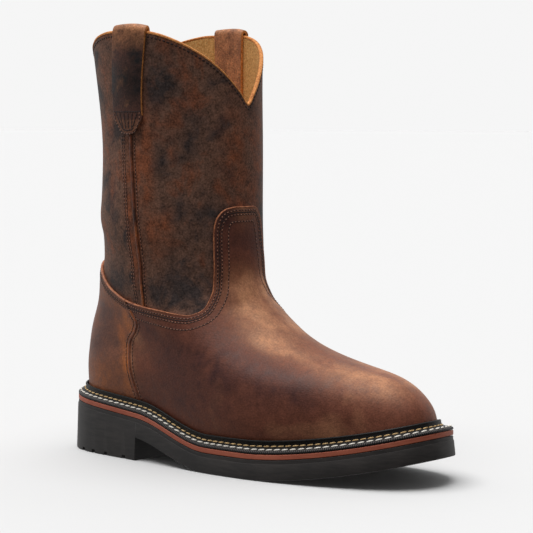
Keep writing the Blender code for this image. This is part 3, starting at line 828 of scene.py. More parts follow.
@dataclass(frozen=True)
class PullUpLeather:
    """Oiled pull-up cowhide, waxed and distressed.

    Handling moves the oil, so the colour breaks into warm and dark clouds, the
    surface has a soft sheen and a fine pore grain, and bends and seams go orange.
    """

    name: str
    base: str
    dusk: str
    glow: str
    cloud_mm: float = 38.0
    roughness: float = 0.5
    contrast: float = 1.0
    # strength of the shader's reflection, less where the wax has gone
    shine: float = 0.5
    # how much mottle and pores lighten and darken it, and how broken tinted places are
    grit: float = 0.5
    ragged: float = 1.3
    tint_gain: float = 1.6
    ragged_mm: float = 11.0
    mottle_mm: float = 6.0
    # real pores are about half as wide, which would not show
    grain_mm: float = 1.3
    grain_depth_mm: float = 0.16

    def material(self) -> bpy.types.Material:
        """Build the material.

        Returns:
            The material.
        """
        recipe = Recipe(self.name)
        tree, place = recipe.tree, recipe.place
        mottle = add_node(tree, "ShaderNodeTexNoise", values={
            "Scale": 1000 / self.mottle_mm, "Detail": 6.0, "Roughness": 0.7},
            links={"Vector": place}).outputs["Fac"]
        pores = add_node(tree, "ShaderNodeTexNoise", values={
            "Scale": 1000 / self.grain_mm, "Detail": 2.0, "Roughness": 0.6},
            links={"Vector": place}).outputs["Fac"]
        both = add_node(tree, "ShaderNodeMath", settings={"operation": "ADD"}, links={
            0: mottle, 1: pores})
        light = add_node(tree, "ShaderNodeMapRange", values={
            "From Min": 0.74, "From Max": 1.26, "To Min": 1.0 - self.grit,
            "To Max": 1.0 + self.grit}, links={"Value": both.outputs["Value"]})
        value = add_node(tree, "ShaderNodeHueSaturation", links={
            "Color": self.tinted(tree, place), "Value": light.outputs["Result"]})
        gloss = add_node(tree, "ShaderNodeMapRange", values={
            "From Min": 0.35, "From Max": 0.65, "To Min": self.roughness - 0.07,
            "To Max": self.roughness + 0.09}, links={"Value": mottle})
        tree.links.new(gloss.outputs["Result"], recipe.shader.inputs["Roughness"])
        pebble = add_node(tree, "ShaderNodeTexVoronoi", settings={"feature": "F1"}, values={
            "Scale": 1000 / self.grain_mm}, links={"Vector": place})
        height = add_node(tree, "ShaderNodeMath", settings={"operation": "ADD"}, links={
            0: pebble.outputs["Distance"], 1: mottle})
        return recipe.finish(value.outputs["Color"], height.outputs["Value"], 0.5,
                             self.grain_depth_mm, {"IOR": 1.48, "Specular IOR Level": self.shine})

    def tinted(self, tree: bpy.types.NodeTree,
               place: bpy.types.NodeSocket) -> bpy.types.NodeSocket:
        """Colour of the oil's clouds, with the listed stains, painted highlights and painted shade
        laid over it.

        Args:
            tree: Tree of the material.
            place: Output socket of the Object coordinates.

        Returns:
            Output socket of the colour.
        """
        cloud = add_node(tree, "ShaderNodeTexNoise", values={
            "Scale": 1000 / self.cloud_mm, "Detail": 4.0, "Roughness": 0.35 + 0.4 * self.grit,
            "Distortion": 0.5}, links={"Vector": place})
        spread = add_node(tree, "ShaderNodeMapRange", values={
            "To Min": 0.5 - self.contrast / 2, "To Max": 0.5 + self.contrast / 2},
            links={"Value": cloud.outputs["Fac"]})
        tone = add_node(tree, "ShaderNodeValToRGB", links={"Fac": spread.outputs["Result"]}, stops=(
            (0.33, self.dusk), (0.47, self.base), (0.55, self.base), (0.72, self.glow)))
        # a ragged noise breaks up the edges of the tinted places
        edge = add_node(tree, "ShaderNodeTexNoise", values={
            "Scale": 1000 / self.ragged_mm, "Detail": 5.0, "Roughness": 0.6},
            links={"Vector": place})
        broken = add_node(tree, "ShaderNodeMath", settings={"operation": "MULTIPLY_ADD"}, values={
            1: self.ragged, 2: 0.5 - self.ragged / 2}, links={0: edge.outputs["Fac"]})
        colour = tone.outputs["Color"]
        # the glow and dusk attributes lay stains, and also painted highlight and painted shade
        for tint, shade in ((Tint.DUSK, self.dusk), (Tint.GLOW, self.glow)):
            put = add_node(tree, "ShaderNodeAttribute", settings={"attribute_name": tint.value})
            amount = add_node(tree, "ShaderNodeMath", settings={
                "operation": "MULTIPLY", "use_clamp": True}, links={
                0: put.outputs["Fac"], 1: broken.outputs["Value"]})
            more = add_node(tree, "ShaderNodeMath", settings={
                "operation": "MULTIPLY", "use_clamp": True}, values={1: self.tint_gain}, links={
                0: amount.outputs["Value"]})
            mix = add_node(tree, "ShaderNodeMix", settings={"data_type": "RGBA"}, values={
                7: linear(shade)}, links={0: more.outputs["Value"], 6: colour})
            colour = mix.outputs[2]
        return colour


@dataclass(frozen=True)
class Speckled:
    """A matt body with fine speckle: suede nap, raw cut edge, thread or board."""

    name: str
    base: str
    dark: str
    speck_mm: float
    roughness: float
    bump_mm: float = 0.1

    def material(self) -> bpy.types.Material:
        """Build the material.

        Returns:
            The material.
        """
        recipe = Recipe(self.name)
        speck = add_node(recipe.tree, "ShaderNodeTexNoise", values={
            "Scale": 1000 / self.speck_mm, "Detail": 4.0, "Roughness": 0.65},
            links={"Vector": recipe.place}).outputs["Fac"]
        tone = add_node(recipe.tree, "ShaderNodeValToRGB", links={"Fac": speck},
                        stops=((0.34, self.dark), (0.62, self.base)))
        return recipe.finish(tone.outputs["Color"], speck, 0.6, self.bump_mm, {
            "Roughness": self.roughness, "IOR": 1.45})


@dataclass(frozen=True)
class MouldedRubber:
    """Moulded nitrile rubber: matt, with a faint flow grain along the sole."""

    name: str
    base: str
    bloom: str
    roughness: float
    grain_mm: float = 3.0
    haze_mm: float = 45.0

    def material(self) -> bpy.types.Material:
        """Build the material.

        Returns:
            The material.
        """
        recipe = Recipe(self.name)
        tree = recipe.tree
        stretch = add_node(tree, "ShaderNodeMapping", values={"Scale": (0.25, 0.25, 1.6)},
                           links={"Vector": recipe.place})
        flow = add_node(tree, "ShaderNodeTexNoise", values={
            "Scale": 1000 / self.grain_mm, "Detail": 5.0, "Roughness": 0.62},
            links={"Vector": stretch.outputs["Vector"]}).outputs["Fac"]
        haze = add_node(tree, "ShaderNodeTexNoise", values={
            "Scale": 1000 / self.haze_mm, "Detail": 3.0}, links={"Vector": recipe.place})
        both = add_node(tree, "ShaderNodeMath", settings={"operation": "MULTIPLY"}, links={
            0: flow, 1: haze.outputs["Fac"]})
        tone = add_node(tree, "ShaderNodeValToRGB", links={"Fac": both.outputs["Value"]},
                        stops=((0.16, self.base), (0.42, self.bloom)))
        return recipe.finish(tone.outputs["Color"], flow, 0.5, 0.12, {
            "Roughness": self.roughness, "IOR": 1.52})


@dataclass(frozen=True)
class KnurledWelt:
    """Black waxed welt leather, with the fine wheel marks of the welt's edge, their crests painted
    grey as glints.
    """

    name: str
    base: str
    painted_glint: str
    roughness: float
    grain_mm: float = 1.2
    wheel_mm: float = 1.5

    def material(self) -> bpy.types.Material:
        """Build the material.

        Returns:
            The material.
        """
        recipe = Recipe(self.name)
        tree = recipe.tree
        grain = add_node(tree, "ShaderNodeTexNoise", values={
            "Scale": 1000 / self.grain_mm, "Detail": 4.0, "Roughness": 0.6},
            links={"Vector": recipe.place})
        run = add_node(tree, "ShaderNodeAttribute", settings={"attribute_name": "run"})
        wheel = add_node(tree, "ShaderNodeAttribute", settings={"attribute_name": "wheel"})
        phase = add_node(tree, "ShaderNodeMath", settings={"operation": "MULTIPLY"}, values={
            1: 2 * math.pi / self.wheel_mm}, links={0: run.outputs["Fac"]})
        wave = add_node(tree, "ShaderNodeMath", settings={"operation": "SINE"},
                        links={0: phase.outputs["Value"]})
        teeth = add_node(tree, "ShaderNodeMath", settings={"operation": "MULTIPLY"}, links={
            0: wave.outputs["Value"], 1: wheel.outputs["Fac"]}).outputs["Value"]
        height = add_node(tree, "ShaderNodeMath", settings={"operation": "ADD"}, links={
            0: teeth, 1: grain.outputs["Fac"]})
        # the crests of the wheel marks turn grey: painted glints
        tone = add_node(tree, "ShaderNodeValToRGB", links={"Fac": teeth},
                        stops=((0.1, self.base), (0.9, self.painted_glint)))
        return recipe.finish(tone.outputs["Color"], height.outputs["Value"], 0.6, 0.25, {
            "Roughness": self.roughness, "IOR": 1.5, "Specular IOR Level": 0.25})


class Palette:
    """Every finish of the boot, made once."""

    def __init__(self) -> None:
        """Build the materials."""
        # oiled cowhide crushed by wear: nearly matt, black clouds and rusty rubs on brown
        self.shaft = PullUpLeather("shaft_pull_up_leather", "#775748", "#443a38", "#8e543a",
                                   cloud_mm=27.0, roughness=0.6, contrast=1.15, shine=0.15,
                                   grit=0.55, ragged=2.4).material()
        # the same hide pulled tight over the toe: smoother, broad clouds, a soft sheen; its pale
        # glow colour also lays the painted highlight on toe and throat, and its dusk the painted
        # shade low on the sides
        self.vamp = PullUpLeather("vamp_pull_up_leather", "#7a4735", "#4c2c28", "#c68c66",
                                  cloud_mm=60.0, roughness=0.52, contrast=0.6, shine=0.25,
                                  grit=0.26).material()
        # round the heel: between the two, orange where the edge was bent
        self.counter = PullUpLeather("counter_pull_up_leather", "#7a4c39", "#46302e", "#b86a36",
                                     cloud_mm=46.0, roughness=0.53, contrast=0.7, shine=0.38,
                                     grit=0.32).material()
        # thick strap leather, dark with oil, tan where it bends over the collar
        self.strap = PullUpLeather("strap_pull_up_leather", "#5e392d", "#1f1b1c", "#bd8058",
                                   cloud_mm=26.0, roughness=0.52, shine=0.35).material()
        # thin leather rolled over a cord: rubbed to orange brown
        self.piping = PullUpLeather("piping_worn_leather", "#7c4227", "#43261b", "#b0632f",
                                    cloud_mm=20.0, roughness=0.5).material()
        # the hide's fibres bare at a knife cut: bright orange tan and dry
        self.raw_edge = Speckled("raw_cut_leather_edge", "#f0a35a", "#b46830", 1.6,
                                 0.75).material()
        # a cut edge rubbed smooth: redder, with a little shine
        self.top_edge = Speckled("burnished_cut_leather_edge", "#cb8158", "#84482f", 2.4,
                                 0.55).material()
        # a cut edge closed with wax: a dull brown line
        self.dull_edge = Speckled("waxed_cut_leather_edge", "#9a5a38", "#5a3324", 1.6,
                                  0.6).material()
        # brushed flesh side of the hide: golden, no gloss at all
        self.suede = Speckled("suede_lining", "#ecba76", "#bb8646", 1.4, 0.95, 0.3).material()
        # pressed leather fibre: flat tan with fine flecks
        self.board = Speckled("footbed_leather_board", "#8f6d45", "#6a4d2e", 1.2, 0.85).material()
        # twisted polyester sewn through wax: pale or dark, with a slight shine
        self.white_thread = Speckled("waxed_white_thread", "#fffaf0", "#d8d0c2", 0.9,
                                     0.6).material()
        self.tan_thread = Speckled("waxed_tan_thread", "#e6c48c", "#a07c48", 0.9, 0.6).material()
        self.dark_thread = Speckled("waxed_brown_thread", "#3a211b", "#1d1110", 0.9,
                                    0.6).material()
        # the same thread in dusty light brown, for wax worn off and for painted highlight on the
        # dark stitch rows
        self.brown_thread = Speckled("worn_thread_and_painted_highlight", "#b07a60", "#6a4034", 1.2,
                                     0.55).material()
        # moulded rubber: charcoal with a grey bloom, and a brick red layer
        self.black_rubber = MouldedRubber("nitrile_black_rubber", "#242120", "#3b3634",
                                          0.6).material()
        self.brick_rubber = MouldedRubber("brick_red_rubber", "#a9543b", "#c26b50",
                                          0.62).material()
        # rolled and waxed strip: black, with grey glints on the wheel marks
        self.welt = KnurledWelt("black_waxed_welt_leather", "#151313", "#5c5755", 0.5).material()


# The boot's sub-assemblies


@dataclass(frozen=True)
class StainAndPaintedLight:
    """A cloud of colour on the leather, round its turn and height; some are stains, others painted
    highlight or painted shade.
    """

    tint: Tint
    turn: float
    height: float
    half_turn: float
    half_height: float
    amount: float


# clouds of colour on the leather: the hide's own stains and rubs, and painted highlight and painted
# shade
STAINS_AND_PAINTED_LIGHT = (
    StainAndPaintedLight(Tint.GLOW, -0.440, 226.0, 0.022, 26.0, 0.95),
    StainAndPaintedLight(Tint.GLOW, -0.432, 190.0, 0.030, 30.0, 0.7),
    StainAndPaintedLight(Tint.GLOW, -0.418, 158.0, 0.026, 20.0, 0.5),
    StainAndPaintedLight(Tint.GLOW, -0.363, 165.0, 0.032, 9.0, 1.0),
    StainAndPaintedLight(Tint.GLOW, -0.386, 236.0, 0.030, 9.0, 0.7),
    StainAndPaintedLight(Tint.GLOW, -0.518, 200.0, 0.020, 34.0, 1.0),
    StainAndPaintedLight(Tint.GLOW, -0.514, 146.0, 0.018, 30.0, 0.9),
    StainAndPaintedLight(Tint.GLOW, -0.642, 271.0, 0.030, 9.0, 0.5),
    StainAndPaintedLight(Tint.GLOW, -0.112, 206.0, 0.040, 9.0, 0.3),
    StainAndPaintedLight(Tint.DUSK, -0.350, 262.0, 0.060, 18.0, 0.9),
    StainAndPaintedLight(Tint.DUSK, -0.300, 214.0, 0.070, 12.0, 0.6),
    StainAndPaintedLight(Tint.DUSK, -0.655, 122.0, 0.060, 14.0, 1.0),
    StainAndPaintedLight(Tint.DUSK, -0.327, 140.0, 0.080, 14.0, 0.4),
    StainAndPaintedLight(Tint.DUSK, -0.070, 190.0, 0.080, 10.0, 0.3),
    StainAndPaintedLight(Tint.DUSK, -0.060, 158.0, 0.140, 20.0, 0.8),
    StainAndPaintedLight(Tint.DUSK, -0.534, 48.0, 0.110, 16.0, 0.6),
    StainAndPaintedLight(Tint.DUSK, -0.321, 54.0, 0.060, 9.0, 0.5),
    StainAndPaintedLight(Tint.DUSK, -0.570, 92.0, 0.040, 8.0, 0.6),
    StainAndPaintedLight(Tint.GLOW, -0.200, 86.0, 0.060, 8.0, 1.0),
    # painted highlight on the throat and the vamp's top
    StainAndPaintedLight(Tint.GLOW, -0.070, 122.0, 0.090, 12.0, 1.0),
    StainAndPaintedLight(Tint.GLOW, -0.080, 92.0, 0.120, 14.0, 0.3),
    # painted shade low on the vamp's sides
    StainAndPaintedLight(Tint.DUSK, -0.440, 74.0, 0.130, 22.0, 0.9),
    StainAndPaintedLight(Tint.DUSK, -0.290, 64.0, 0.070, 10.0, 0.5),
    StainAndPaintedLight(Tint.GLOW, -0.080, 222.0, 0.060, 26.0, 0.7),
    StainAndPaintedLight(Tint.GLOW, -0.040, 186.0, 0.050, 16.0, 0.7),
    StainAndPaintedLight(Tint.GLOW, -0.478, 205.0, 0.014, 22.0, 1.0),
    StainAndPaintedLight(Tint.GLOW, -0.478, 150.0, 0.012, 26.0, 0.8),
    StainAndPaintedLight(Tint.GLOW, -0.620, 190.0, 0.030, 16.0, 0.6),
    StainAndPaintedLight(Tint.GLOW, -0.640, 236.0, 0.030, 14.0, 0.6),
    StainAndPaintedLight(Tint.GLOW, -0.330, 232.0, 0.030, 8.0, 0.4),
    StainAndPaintedLight(Tint.DUSK, -0.250, 236.0, 0.050, 14.0, 0.5),
    StainAndPaintedLight(Tint.DUSK, -0.380, 206.0, 0.040, 14.0, 0.6),
    StainAndPaintedLight(Tint.DUSK, -0.250, 172.0, 0.050, 12.0, 0.6),
    StainAndPaintedLight(Tint.DUSK, -0.330, 124.0, 0.100, 14.0, 0.6),
    # painted highlight on the instep and the toe's top
    StainAndPaintedLight(Tint.GLOW, -0.110, 104.0, 0.100, 12.0, 0.9),
    StainAndPaintedLight(Tint.GLOW, -0.103, 66.0, 0.100, 9.0, 0.9),
    StainAndPaintedLight(Tint.GLOW, -0.640, 97.0, 0.022, 14.0, 1.0),
    StainAndPaintedLight(Tint.GLOW, -0.690, 68.0, 0.018, 26.0, 1.0),
    StainAndPaintedLight(Tint.DUSK, -0.757, 100.0, 0.050, 9.0, 0.7),
    StainAndPaintedLight(Tint.GLOW, -0.790, 52.0, 0.070, 14.0, 0.6),
    StainAndPaintedLight(Tint.DUSK, -0.400, 250.0, 0.040, 22.0, 0.9),
    StainAndPaintedLight(Tint.DUSK, -0.300, 180.0, 0.030, 10.0, 0.6),
    StainAndPaintedLight(Tint.DUSK, -0.130, 172.0, 0.060, 9.0, 0.7),
    StainAndPaintedLight(Tint.DUSK, -0.180, 140.0, 0.020, 26.0, 0.6),
    StainAndPaintedLight(Tint.DUSK, -0.570, 240.0, 0.030, 10.0, 0.6),
)


def stain_and_light_marks(turn: Array, height: Array) -> dict[str, Array]:
    """How much of each tint the leather takes, stains and painted highlight and shade alike, the
    same on both sides.

    Args:
        turn: Turns round the foot.
        height: Heights over the floor.

    Returns:
        Amounts from 0 to 1 at each place, by attribute name.
    """
    turn = -np.abs((np.asarray(turn, float) + 1.0) % 2.0 - 1.0)
    marks = {tint.value: np.zeros(turn.shape) for tint in Tint}
    for spot in STAINS_AND_PAINTED_LIGHT:
        across = (turn - spot.turn) / spot.half_turn
        up = (height - spot.height) / spot.half_height
        marks[spot.tint.value] += spot.amount * np.exp(-across ** 2 - up ** 2)
    return {name: np.clip(value, 0.0, 1.0) for name, value in marks.items()}


@dataclass
class ShaftAndLining:
    """The hollow upper: leather outside, suede inside, raw leather at the collar."""

    last: BootLast
    palette: Palette
    columns: int = 208
    foot_rows: int = 52
    shaft_rows: int = 48
    # rows below this level follow the foot, and those above it rise to the collar
    foot_level: float = 8.5
    edge_columns: int = 360
    # depth and rise over the collar's line of each point round the raw edge
    edge_section: tuple[tuple[float, float], ...] = (
        (0.22, -0.9), (0.30, -0.1), (0.05, 0.5), (-0.8, 0.75), (-1.5, 0.75), (-2.25, 0.5),
        (-2.5, -0.1), (-2.42, -0.9))

    def grid(self, depth: float) -> tuple[Array, Array]:
        """The whole skin at a depth, from the welt to the collar.

        Args:
            depth: Millimetres outside the skin.

        Returns:
            Points and their turns, row after row.
        """
        turn = even_turns(self.columns)
        top = self.last.level_at(turn, self.last.collar_height(turn))
        rows = [np.full(self.columns, self.foot_level * i / self.foot_rows)
                for i in range(self.foot_rows)]
        rows += [self.foot_level + (top - self.foot_level) * i / self.shaft_rows
                 for i in range(self.shaft_rows + 1)]
        level = np.array(rows)
        turns = np.broadcast_to(turn, level.shape)
        return self.last.on_skin(turns, level, depth), turns

    def build(self) -> None:
        """Make the shell and the collar's raw edge."""
        sketch = Sketch()
        outer, turns = self.grid(0.0)
        inner, _ = self.grid(-self.last.wall)
        rows, columns = outer.shape[:2]
        marks = stain_and_light_marks(turns, outer[..., 2])
        first = sketch.add_points(outer, **marks)
        second = sketch.add_points(inner, **marks)
        sketch.add_grid(rows, columns, first, True)
        sketch.add_grid(rows, columns, second, True, Face.LINING)
        end = (rows - 1) * columns
        sketch.add_between(range(first, first + columns), range(second, second + columns))
        sketch.add_between(range(first + end, first + end + columns),
                           range(second + end, second + end + columns))
        palette = self.palette
        shell = sketch.build("shaft_and_lining", [palette.shaft, palette.raw_edge, palette.suede])
        dress(shell, "shaft_leather", "upper")
        self.build_collar_edge()

    def build_collar_edge(self) -> None:
        """Make the raw cut edge that rounds off the collar."""
        turn = even_turns(self.edge_columns)
        level = self.last.level_at(turn, self.last.collar_height(turn))
        rings = np.array([self.last.on_skin(turn, level, depth) + [0.0, 0.0, up]
                          for depth, up in self.edge_section])
        sketch = Sketch()
        sketch.add_tube(rings, True)
        edge = sketch.build("collar_raw_edge", [self.palette.raw_edge], sharp=80.0)
        dress(edge, "shaft_leather")


@dataclass
class Foxing:
    """Vamp and counter: the two overlays on the foot, their edges and seams."""

    last: BootLast
    palette: Palette
    inner_depth: float = 0.3
    outer_depth: float = 1.9
    bead_width: float = 3.0
    bead_low: float = 0.2
    bead_high: float = 2.6
    bead_levels: tuple[float, float] = (0.12, 5.75)
    bead_steps: int = 90
    # how far the leather reaches under the bead
    tuck: float = 0.2
    edge_width: float = 1.1
    edge_low: float = 0.1
    edge_high: float = 2.1
    edge_pitch: float = 0.8
    line_pitch: float = 1.2
    fine_steps: int = 3000
    rows: int = 64
    counter_columns: int = 121

    def seam_turn(self, level: Array) -> Array:
        """Turn of the foot seam at a level."""
        return read_table(level, FOOT_SEAM_LEVEL, FOOT_SEAM_TURN)

    def patch(self, across: Array, front: bool) -> tuple[Array, Array]:
        """Turns and levels of an overlay's grid.

        Args:
            across: Places from one foot seam, at -1, to the other, at 1.
            front: True for the vamp, False for the counter.

        Returns:
            Turns and levels, row after row from the welt up.
        """
        seam_top = FOOT_SEAM_TURN[-1]
        turn_top = across * seam_top if front else 1.0 + across * (1.0 - seam_top)
        top = self.last.level_at(turn_top, self.last.foxing_height(turn_top))
        turns, levels = [], []
        for share in np.linspace(0.0, 1.0, self.rows):
            level = top * share
            seam = self.seam_turn(level)
            side = np.where(across < 0.0, -1.0, 1.0) * (1.0 if front else -1.0)
            along = self.last.skin_frame(side * seam, level)[2]
            clear = (self.bead_width / 2 - self.tuck) / np.linalg.norm(along, axis=-1)
            turns.append(across * (seam - clear) if front else 1.0 + across * (1.0 - seam - clear))
            levels.append(level)
        return np.array(turns), np.array(levels)

    def overlay(self, name: str, across: Array, front: bool, material: bpy.types.Material,
                slot: str) -> None:
        """Make one overlay as a closed slab of leather.

        Args:
            name: Name of the node that it replaces.
            across: Places from one foot seam, at -1, to the other, at 1.
            front: True for the vamp, False for the counter.
            material: Finish.
            slot: Material slot.
        """
        turns, levels = self.patch(across, front)
        outer = self.last.on_skin(turns, levels, self.outer_depth)
        inner = self.last.on_skin(turns, levels, self.inner_depth)
        sketch = Sketch()
        sketch.add_slab(outer, inner, Face.SKIN, stain_and_light_marks(turns, outer[..., 2]))
        slab = sketch.build(name + "_overlay", [material, self.palette.dull_edge])
        dress(slab, slot, name)

    def vamp_columns(self) -> Array:
        """Places across the vamp, close together at the tab's corners.

        Returns:
            Places from one foot seam, at -1, to the other, at 1.
        """
        knots = (0.0, 0.10, 0.14, 0.17, 0.215, 0.25, 0.32, 0.42, 0.6)
        counts = (8, 8, 10, 26, 12, 12, 14, 20)
        half = [np.linspace(a, b, n, endpoint=False) for a, b, n in zip(knots, knots[1:], counts)]
        half = np.concatenate([*half, [knots[-1]]])
        inner = np.interp(half, FOXING_TURN, FOXING_TURN_INNER)
        return np.concatenate([-half[:0:-1], inner]) / knots[-1]

    def top_line(self, start: float, end: float, pitch: float) -> tuple[Array, Array]:
        """The top line of vamp and counter, at even steps.

        Args:
            start: Turn where it starts.
            end: Turn where it ends.
            pitch: Length of a step.

        Returns:
            Turns and levels along it.
        """
        turn = np.linspace(start, end, self.fine_steps)
        level = self.last.level_at(turn, self.last.foxing_height(turn))
        steps = even_steps(self.last.skin(turn, level), pitch)
        at = np.arange(len(turn))
        return np.interp(steps, at, turn), np.interp(steps, at, level)

    def inside_line(self, start: float, end: float, distance: float) -> tuple[Array, Array]:
        """A line that keeps a distance below the top line.

        Args:
            start: Turn where it starts.
            end: Turn where it ends.
            distance: Distance over the leather.

        Returns:
            Turns and levels along it.
        """
        turn, level = self.top_line(start, end, self.line_pitch)
        point, normal, _, _ = self.last.skin_frame(turn, level)
        down = np.cross(unit(np.gradient(point, axis=0)), normal)
        return self.last.walk(turn, level, down, distance)

    def build(self) -> None:
        """Make the overlays, their cut edges and the seam beads."""
        palette = self.palette
        self.overlay("vamp", self.vamp_columns(), True, palette.vamp, "vamp_leather")
        self.overlay("counter", np.linspace(-1.0, 1.0, self.counter_columns), False,
                     palette.counter, "counter_leather")
        turn, level = self.top_line(-1.0, 1.0, self.edge_pitch)
        edge = swept_bead(self.last, "top_line_cut_edge", turn[:-1], level[:-1], self.edge_width,
                          self.edge_low, self.edge_high, palette.top_edge, closed=True)
        dress(edge, "piping_leather")
        for side in Side:
            level = np.linspace(*self.bead_levels, self.bead_steps)
            turn = side.value * self.seam_turn(level)
            bead = swept_bead(self.last, "foot_seam_bead_" + side.label, turn, level,
                              self.bead_width, self.bead_low, self.bead_high, palette.piping)
            dress(bead, "piping_leather", "foot_seam_" + side.label)


@dataclass
class ShaftSeams:
    """Piping down each side of the shaft, from the pull strap to the foxing."""

    last: BootLast
    palette: Palette
    bottom: float = 108.6
    top: float = 226.0
    bead_width: float = 2.3
    bead_low: float = 0.1
    bead_high: float = 1.3
    steps: int = 90

    def line(self, side: Side, shift_mm: float, low: float, high: float) -> tuple[Array, Array]:
        """Turns and levels of a line beside the seam.

        Args:
            side: Side of the foot.
            shift_mm: How far it lies towards the toe.
            low: Height where it starts.
            high: Height where it ends.

        Returns:
            Turns and levels along it.
        """
        height = np.linspace(low, high, self.steps)
        turn = side.value * read_table(height, SHAFT_SEAM_HEIGHT, SHAFT_SEAM_TURN)
        level = self.last.level_at(turn, height)
        along = self.last.skin_frame(turn, level)[2]
        turn = turn - side.value * shift_mm / np.linalg.norm(along, axis=-1)
        return turn, self.last.level_at(turn, height)

    def build(self) -> None:
        """Make the piping."""
        for side in Side:
            turn, level = self.line(side, 0.0, self.bottom, self.top)
            bead = swept_bead(self.last, "shaft_piping_" + side.label, turn, level,
                              self.bead_width, self.bead_low, self.bead_high,
                              self.palette.piping)
            dress(bead, "piping_leather", "shaft_seam_" + side.label)


@dataclass
class PullStraps:
    """A leather loop over the collar on each side, stitched down in a tapered tab."""

    last: BootLast
    palette: Palette
    width: float = 27.0
    thickness: float = 2.0
    gap: float = 0.3
    outside_low: float = 225.0
    inside_low: float = 232.0
    collar_clear: float = 0.5
    collar_height: float = 300.0
    collar_level: float = 11.0
    # the tab takes one part in six of the outside leg
    tab_parts: float = 6.0
    tab_rise: float = 5.0
    tab_narrowing: float = 0.45
    belly: float = 1.3
    belly_start: float = 0.2
    arch_rise: float = 2.0
    arch_crown: float = 0.8
    outside_rows: int = 40
    arch_rows: int = 17
    inside_rows: int = 22
    columns: int = 15
    # rows from the tab's tip where the cut edge is painted dark as shade, where the leather is dark
    # with oil, and where it is bent
    painted_shade_rows: int = 9
    tip_rows: int = 7
    dark_row: float = 20.0
    bent_row: float = 31.0
    fade_rows: float = 9.0
    tip_glow: float = 0.25
    soft_edge: float = 0.35

    def point(self, side: Side, leg: Leg, place: float, offset: Array, away: float) -> Array:
        """Row of points across a strap.

        Args:
            side: Side of the foot.
            leg: Stretch of the strap.
            place: Share of the way along the leg.
            offset: Millimetres from the strap's middle line.
            away: 0 on the face next to the shaft, 1 on the other.

        Returns:
            The points in millimetres.
        """
        last = self.last
        thick = self.thickness * away
        bulge = 1.0 - (2 * offset / self.width) ** 2
        turn = self.turn_at(side, self.collar_height, offset)
        rim = last.collar_height(turn) + self.collar_clear
        if leg is Leg.OUTSIDE:
            taper = max(0.0, 1.0 - place * self.tab_parts)
            low = self.outside_low + self.tab_rise * np.abs(offset) / (self.width / 2) * taper
            height = low + (rim - low) * place
            turn = self.turn_at(side, height, offset * (1.0 - self.tab_narrowing * taper))
            rise = min(1.0, max(0.0, (place - self.belly_start) / (1.0 - self.belly_start)))
            lift = self.belly * math.sin(math.pi * rise) ** 2
            return last.on_skin(turn, last.level_at(turn, height), self.gap + thick + lift * bulge)
        if leg is Leg.INSIDE:
            height = rim + (self.inside_low - rim) * place
            depth = -(last.wall + self.gap + thick)
            return last.on_skin(turn, last.level_at(turn, height), depth)
        angle = math.pi * place
        half_gap = last.wall / 2 + self.gap
        depth = -last.wall / 2 + (half_gap + thick) * math.cos(angle)
        point = last.on_skin(turn, last.level_at(turn, rim), depth)
        point[:, 2] += (self.arch_rise + thick + self.arch_crown * bulge) * math.sin(angle)
        return point

    def turn_at(self, side: Side, height: Array, offset: Array) -> Array:
        """Turns beside a strap's middle line.

        Args:
            side: Side of the foot.
            height: Heights over the floor.
            offset: Millimetres from the middle line.

        Returns:
            The turn at each height and offset.
        """
        centre = side.value * read_table(height, STRAP_HEIGHT, STRAP_TURN)
        slope = self.last.skin_frame(np.array(0.5 * side.value), np.array(self.collar_level))[2]
        return centre + offset / float(np.linalg.norm(slope))

    def build(self) -> None:
        """Make both straps."""
        path = [(Leg.OUTSIDE, place) for place in np.linspace(0.0, 1.0, self.outside_rows)]
        path += [(Leg.ARCH, place) for place in np.linspace(0.0, 1.0, self.arch_rows)[1:-1]]
        path += [(Leg.INSIDE, place) for place in np.linspace(0.0, 1.0, self.inside_rows)]
        offsets = np.linspace(-0.5, 0.5, self.columns) * self.width
        for side in Side:
            near, away = (np.array([self.point(side, leg, place, offsets, face)
                                    for leg, place in path]) for face in (0.0, 1.0))
            self.strap(side, near, away)

    def strap(self, side: Side, near: Array, away: Array) -> None:
        """Make one strap from the grids of its two faces.

        Args:
            side: Side of the foot.
            near: Points of the face next to the shaft.
            away: Points of the other face.
        """
        rows, columns = near.shape[:2]
        tip = np.arange(rows)[:, None] * np.ones(columns)[None]
        bent = np.clip((tip - self.bent_row) / self.fade_rows, 0.0, 1.0)
        marks = {Tint.GLOW.value: bent + self.tip_glow * (tip < self.tip_rows),
                 Tint.DUSK.value: np.exp(-((tip - self.dark_row) / self.fade_rows) ** 2)}
        sketch = Sketch()
        rim = sketch.add_slab(away, near, Face.LINING, marks)
        # the tab's cut edge takes the strap's dark leather, not the orange raw edge: painted shade
        for face in range(rim, len(sketch.faces)):
            if max(sketch.faces[face]) % (rows * columns) < self.painted_shade_rows * columns:
                sketch.kinds[face] = Face.PAINTED_SHADE.value
        palette = self.palette
        strap = sketch.build("pull_strap_loop_" + side.label,
                             [palette.strap, palette.raw_edge, palette.suede, palette.strap],
                             sharp=40.0)
        bevel = strap.modifiers.new("soft_edges", "BEVEL")
        bevel.width = self.soft_edge * MM
        bevel.segments = 2
        bevel.angle_limit = math.radians(40)
        plain_copy(strap)
        dress(strap, "strap_leather", "pull_strap_" + side.label)


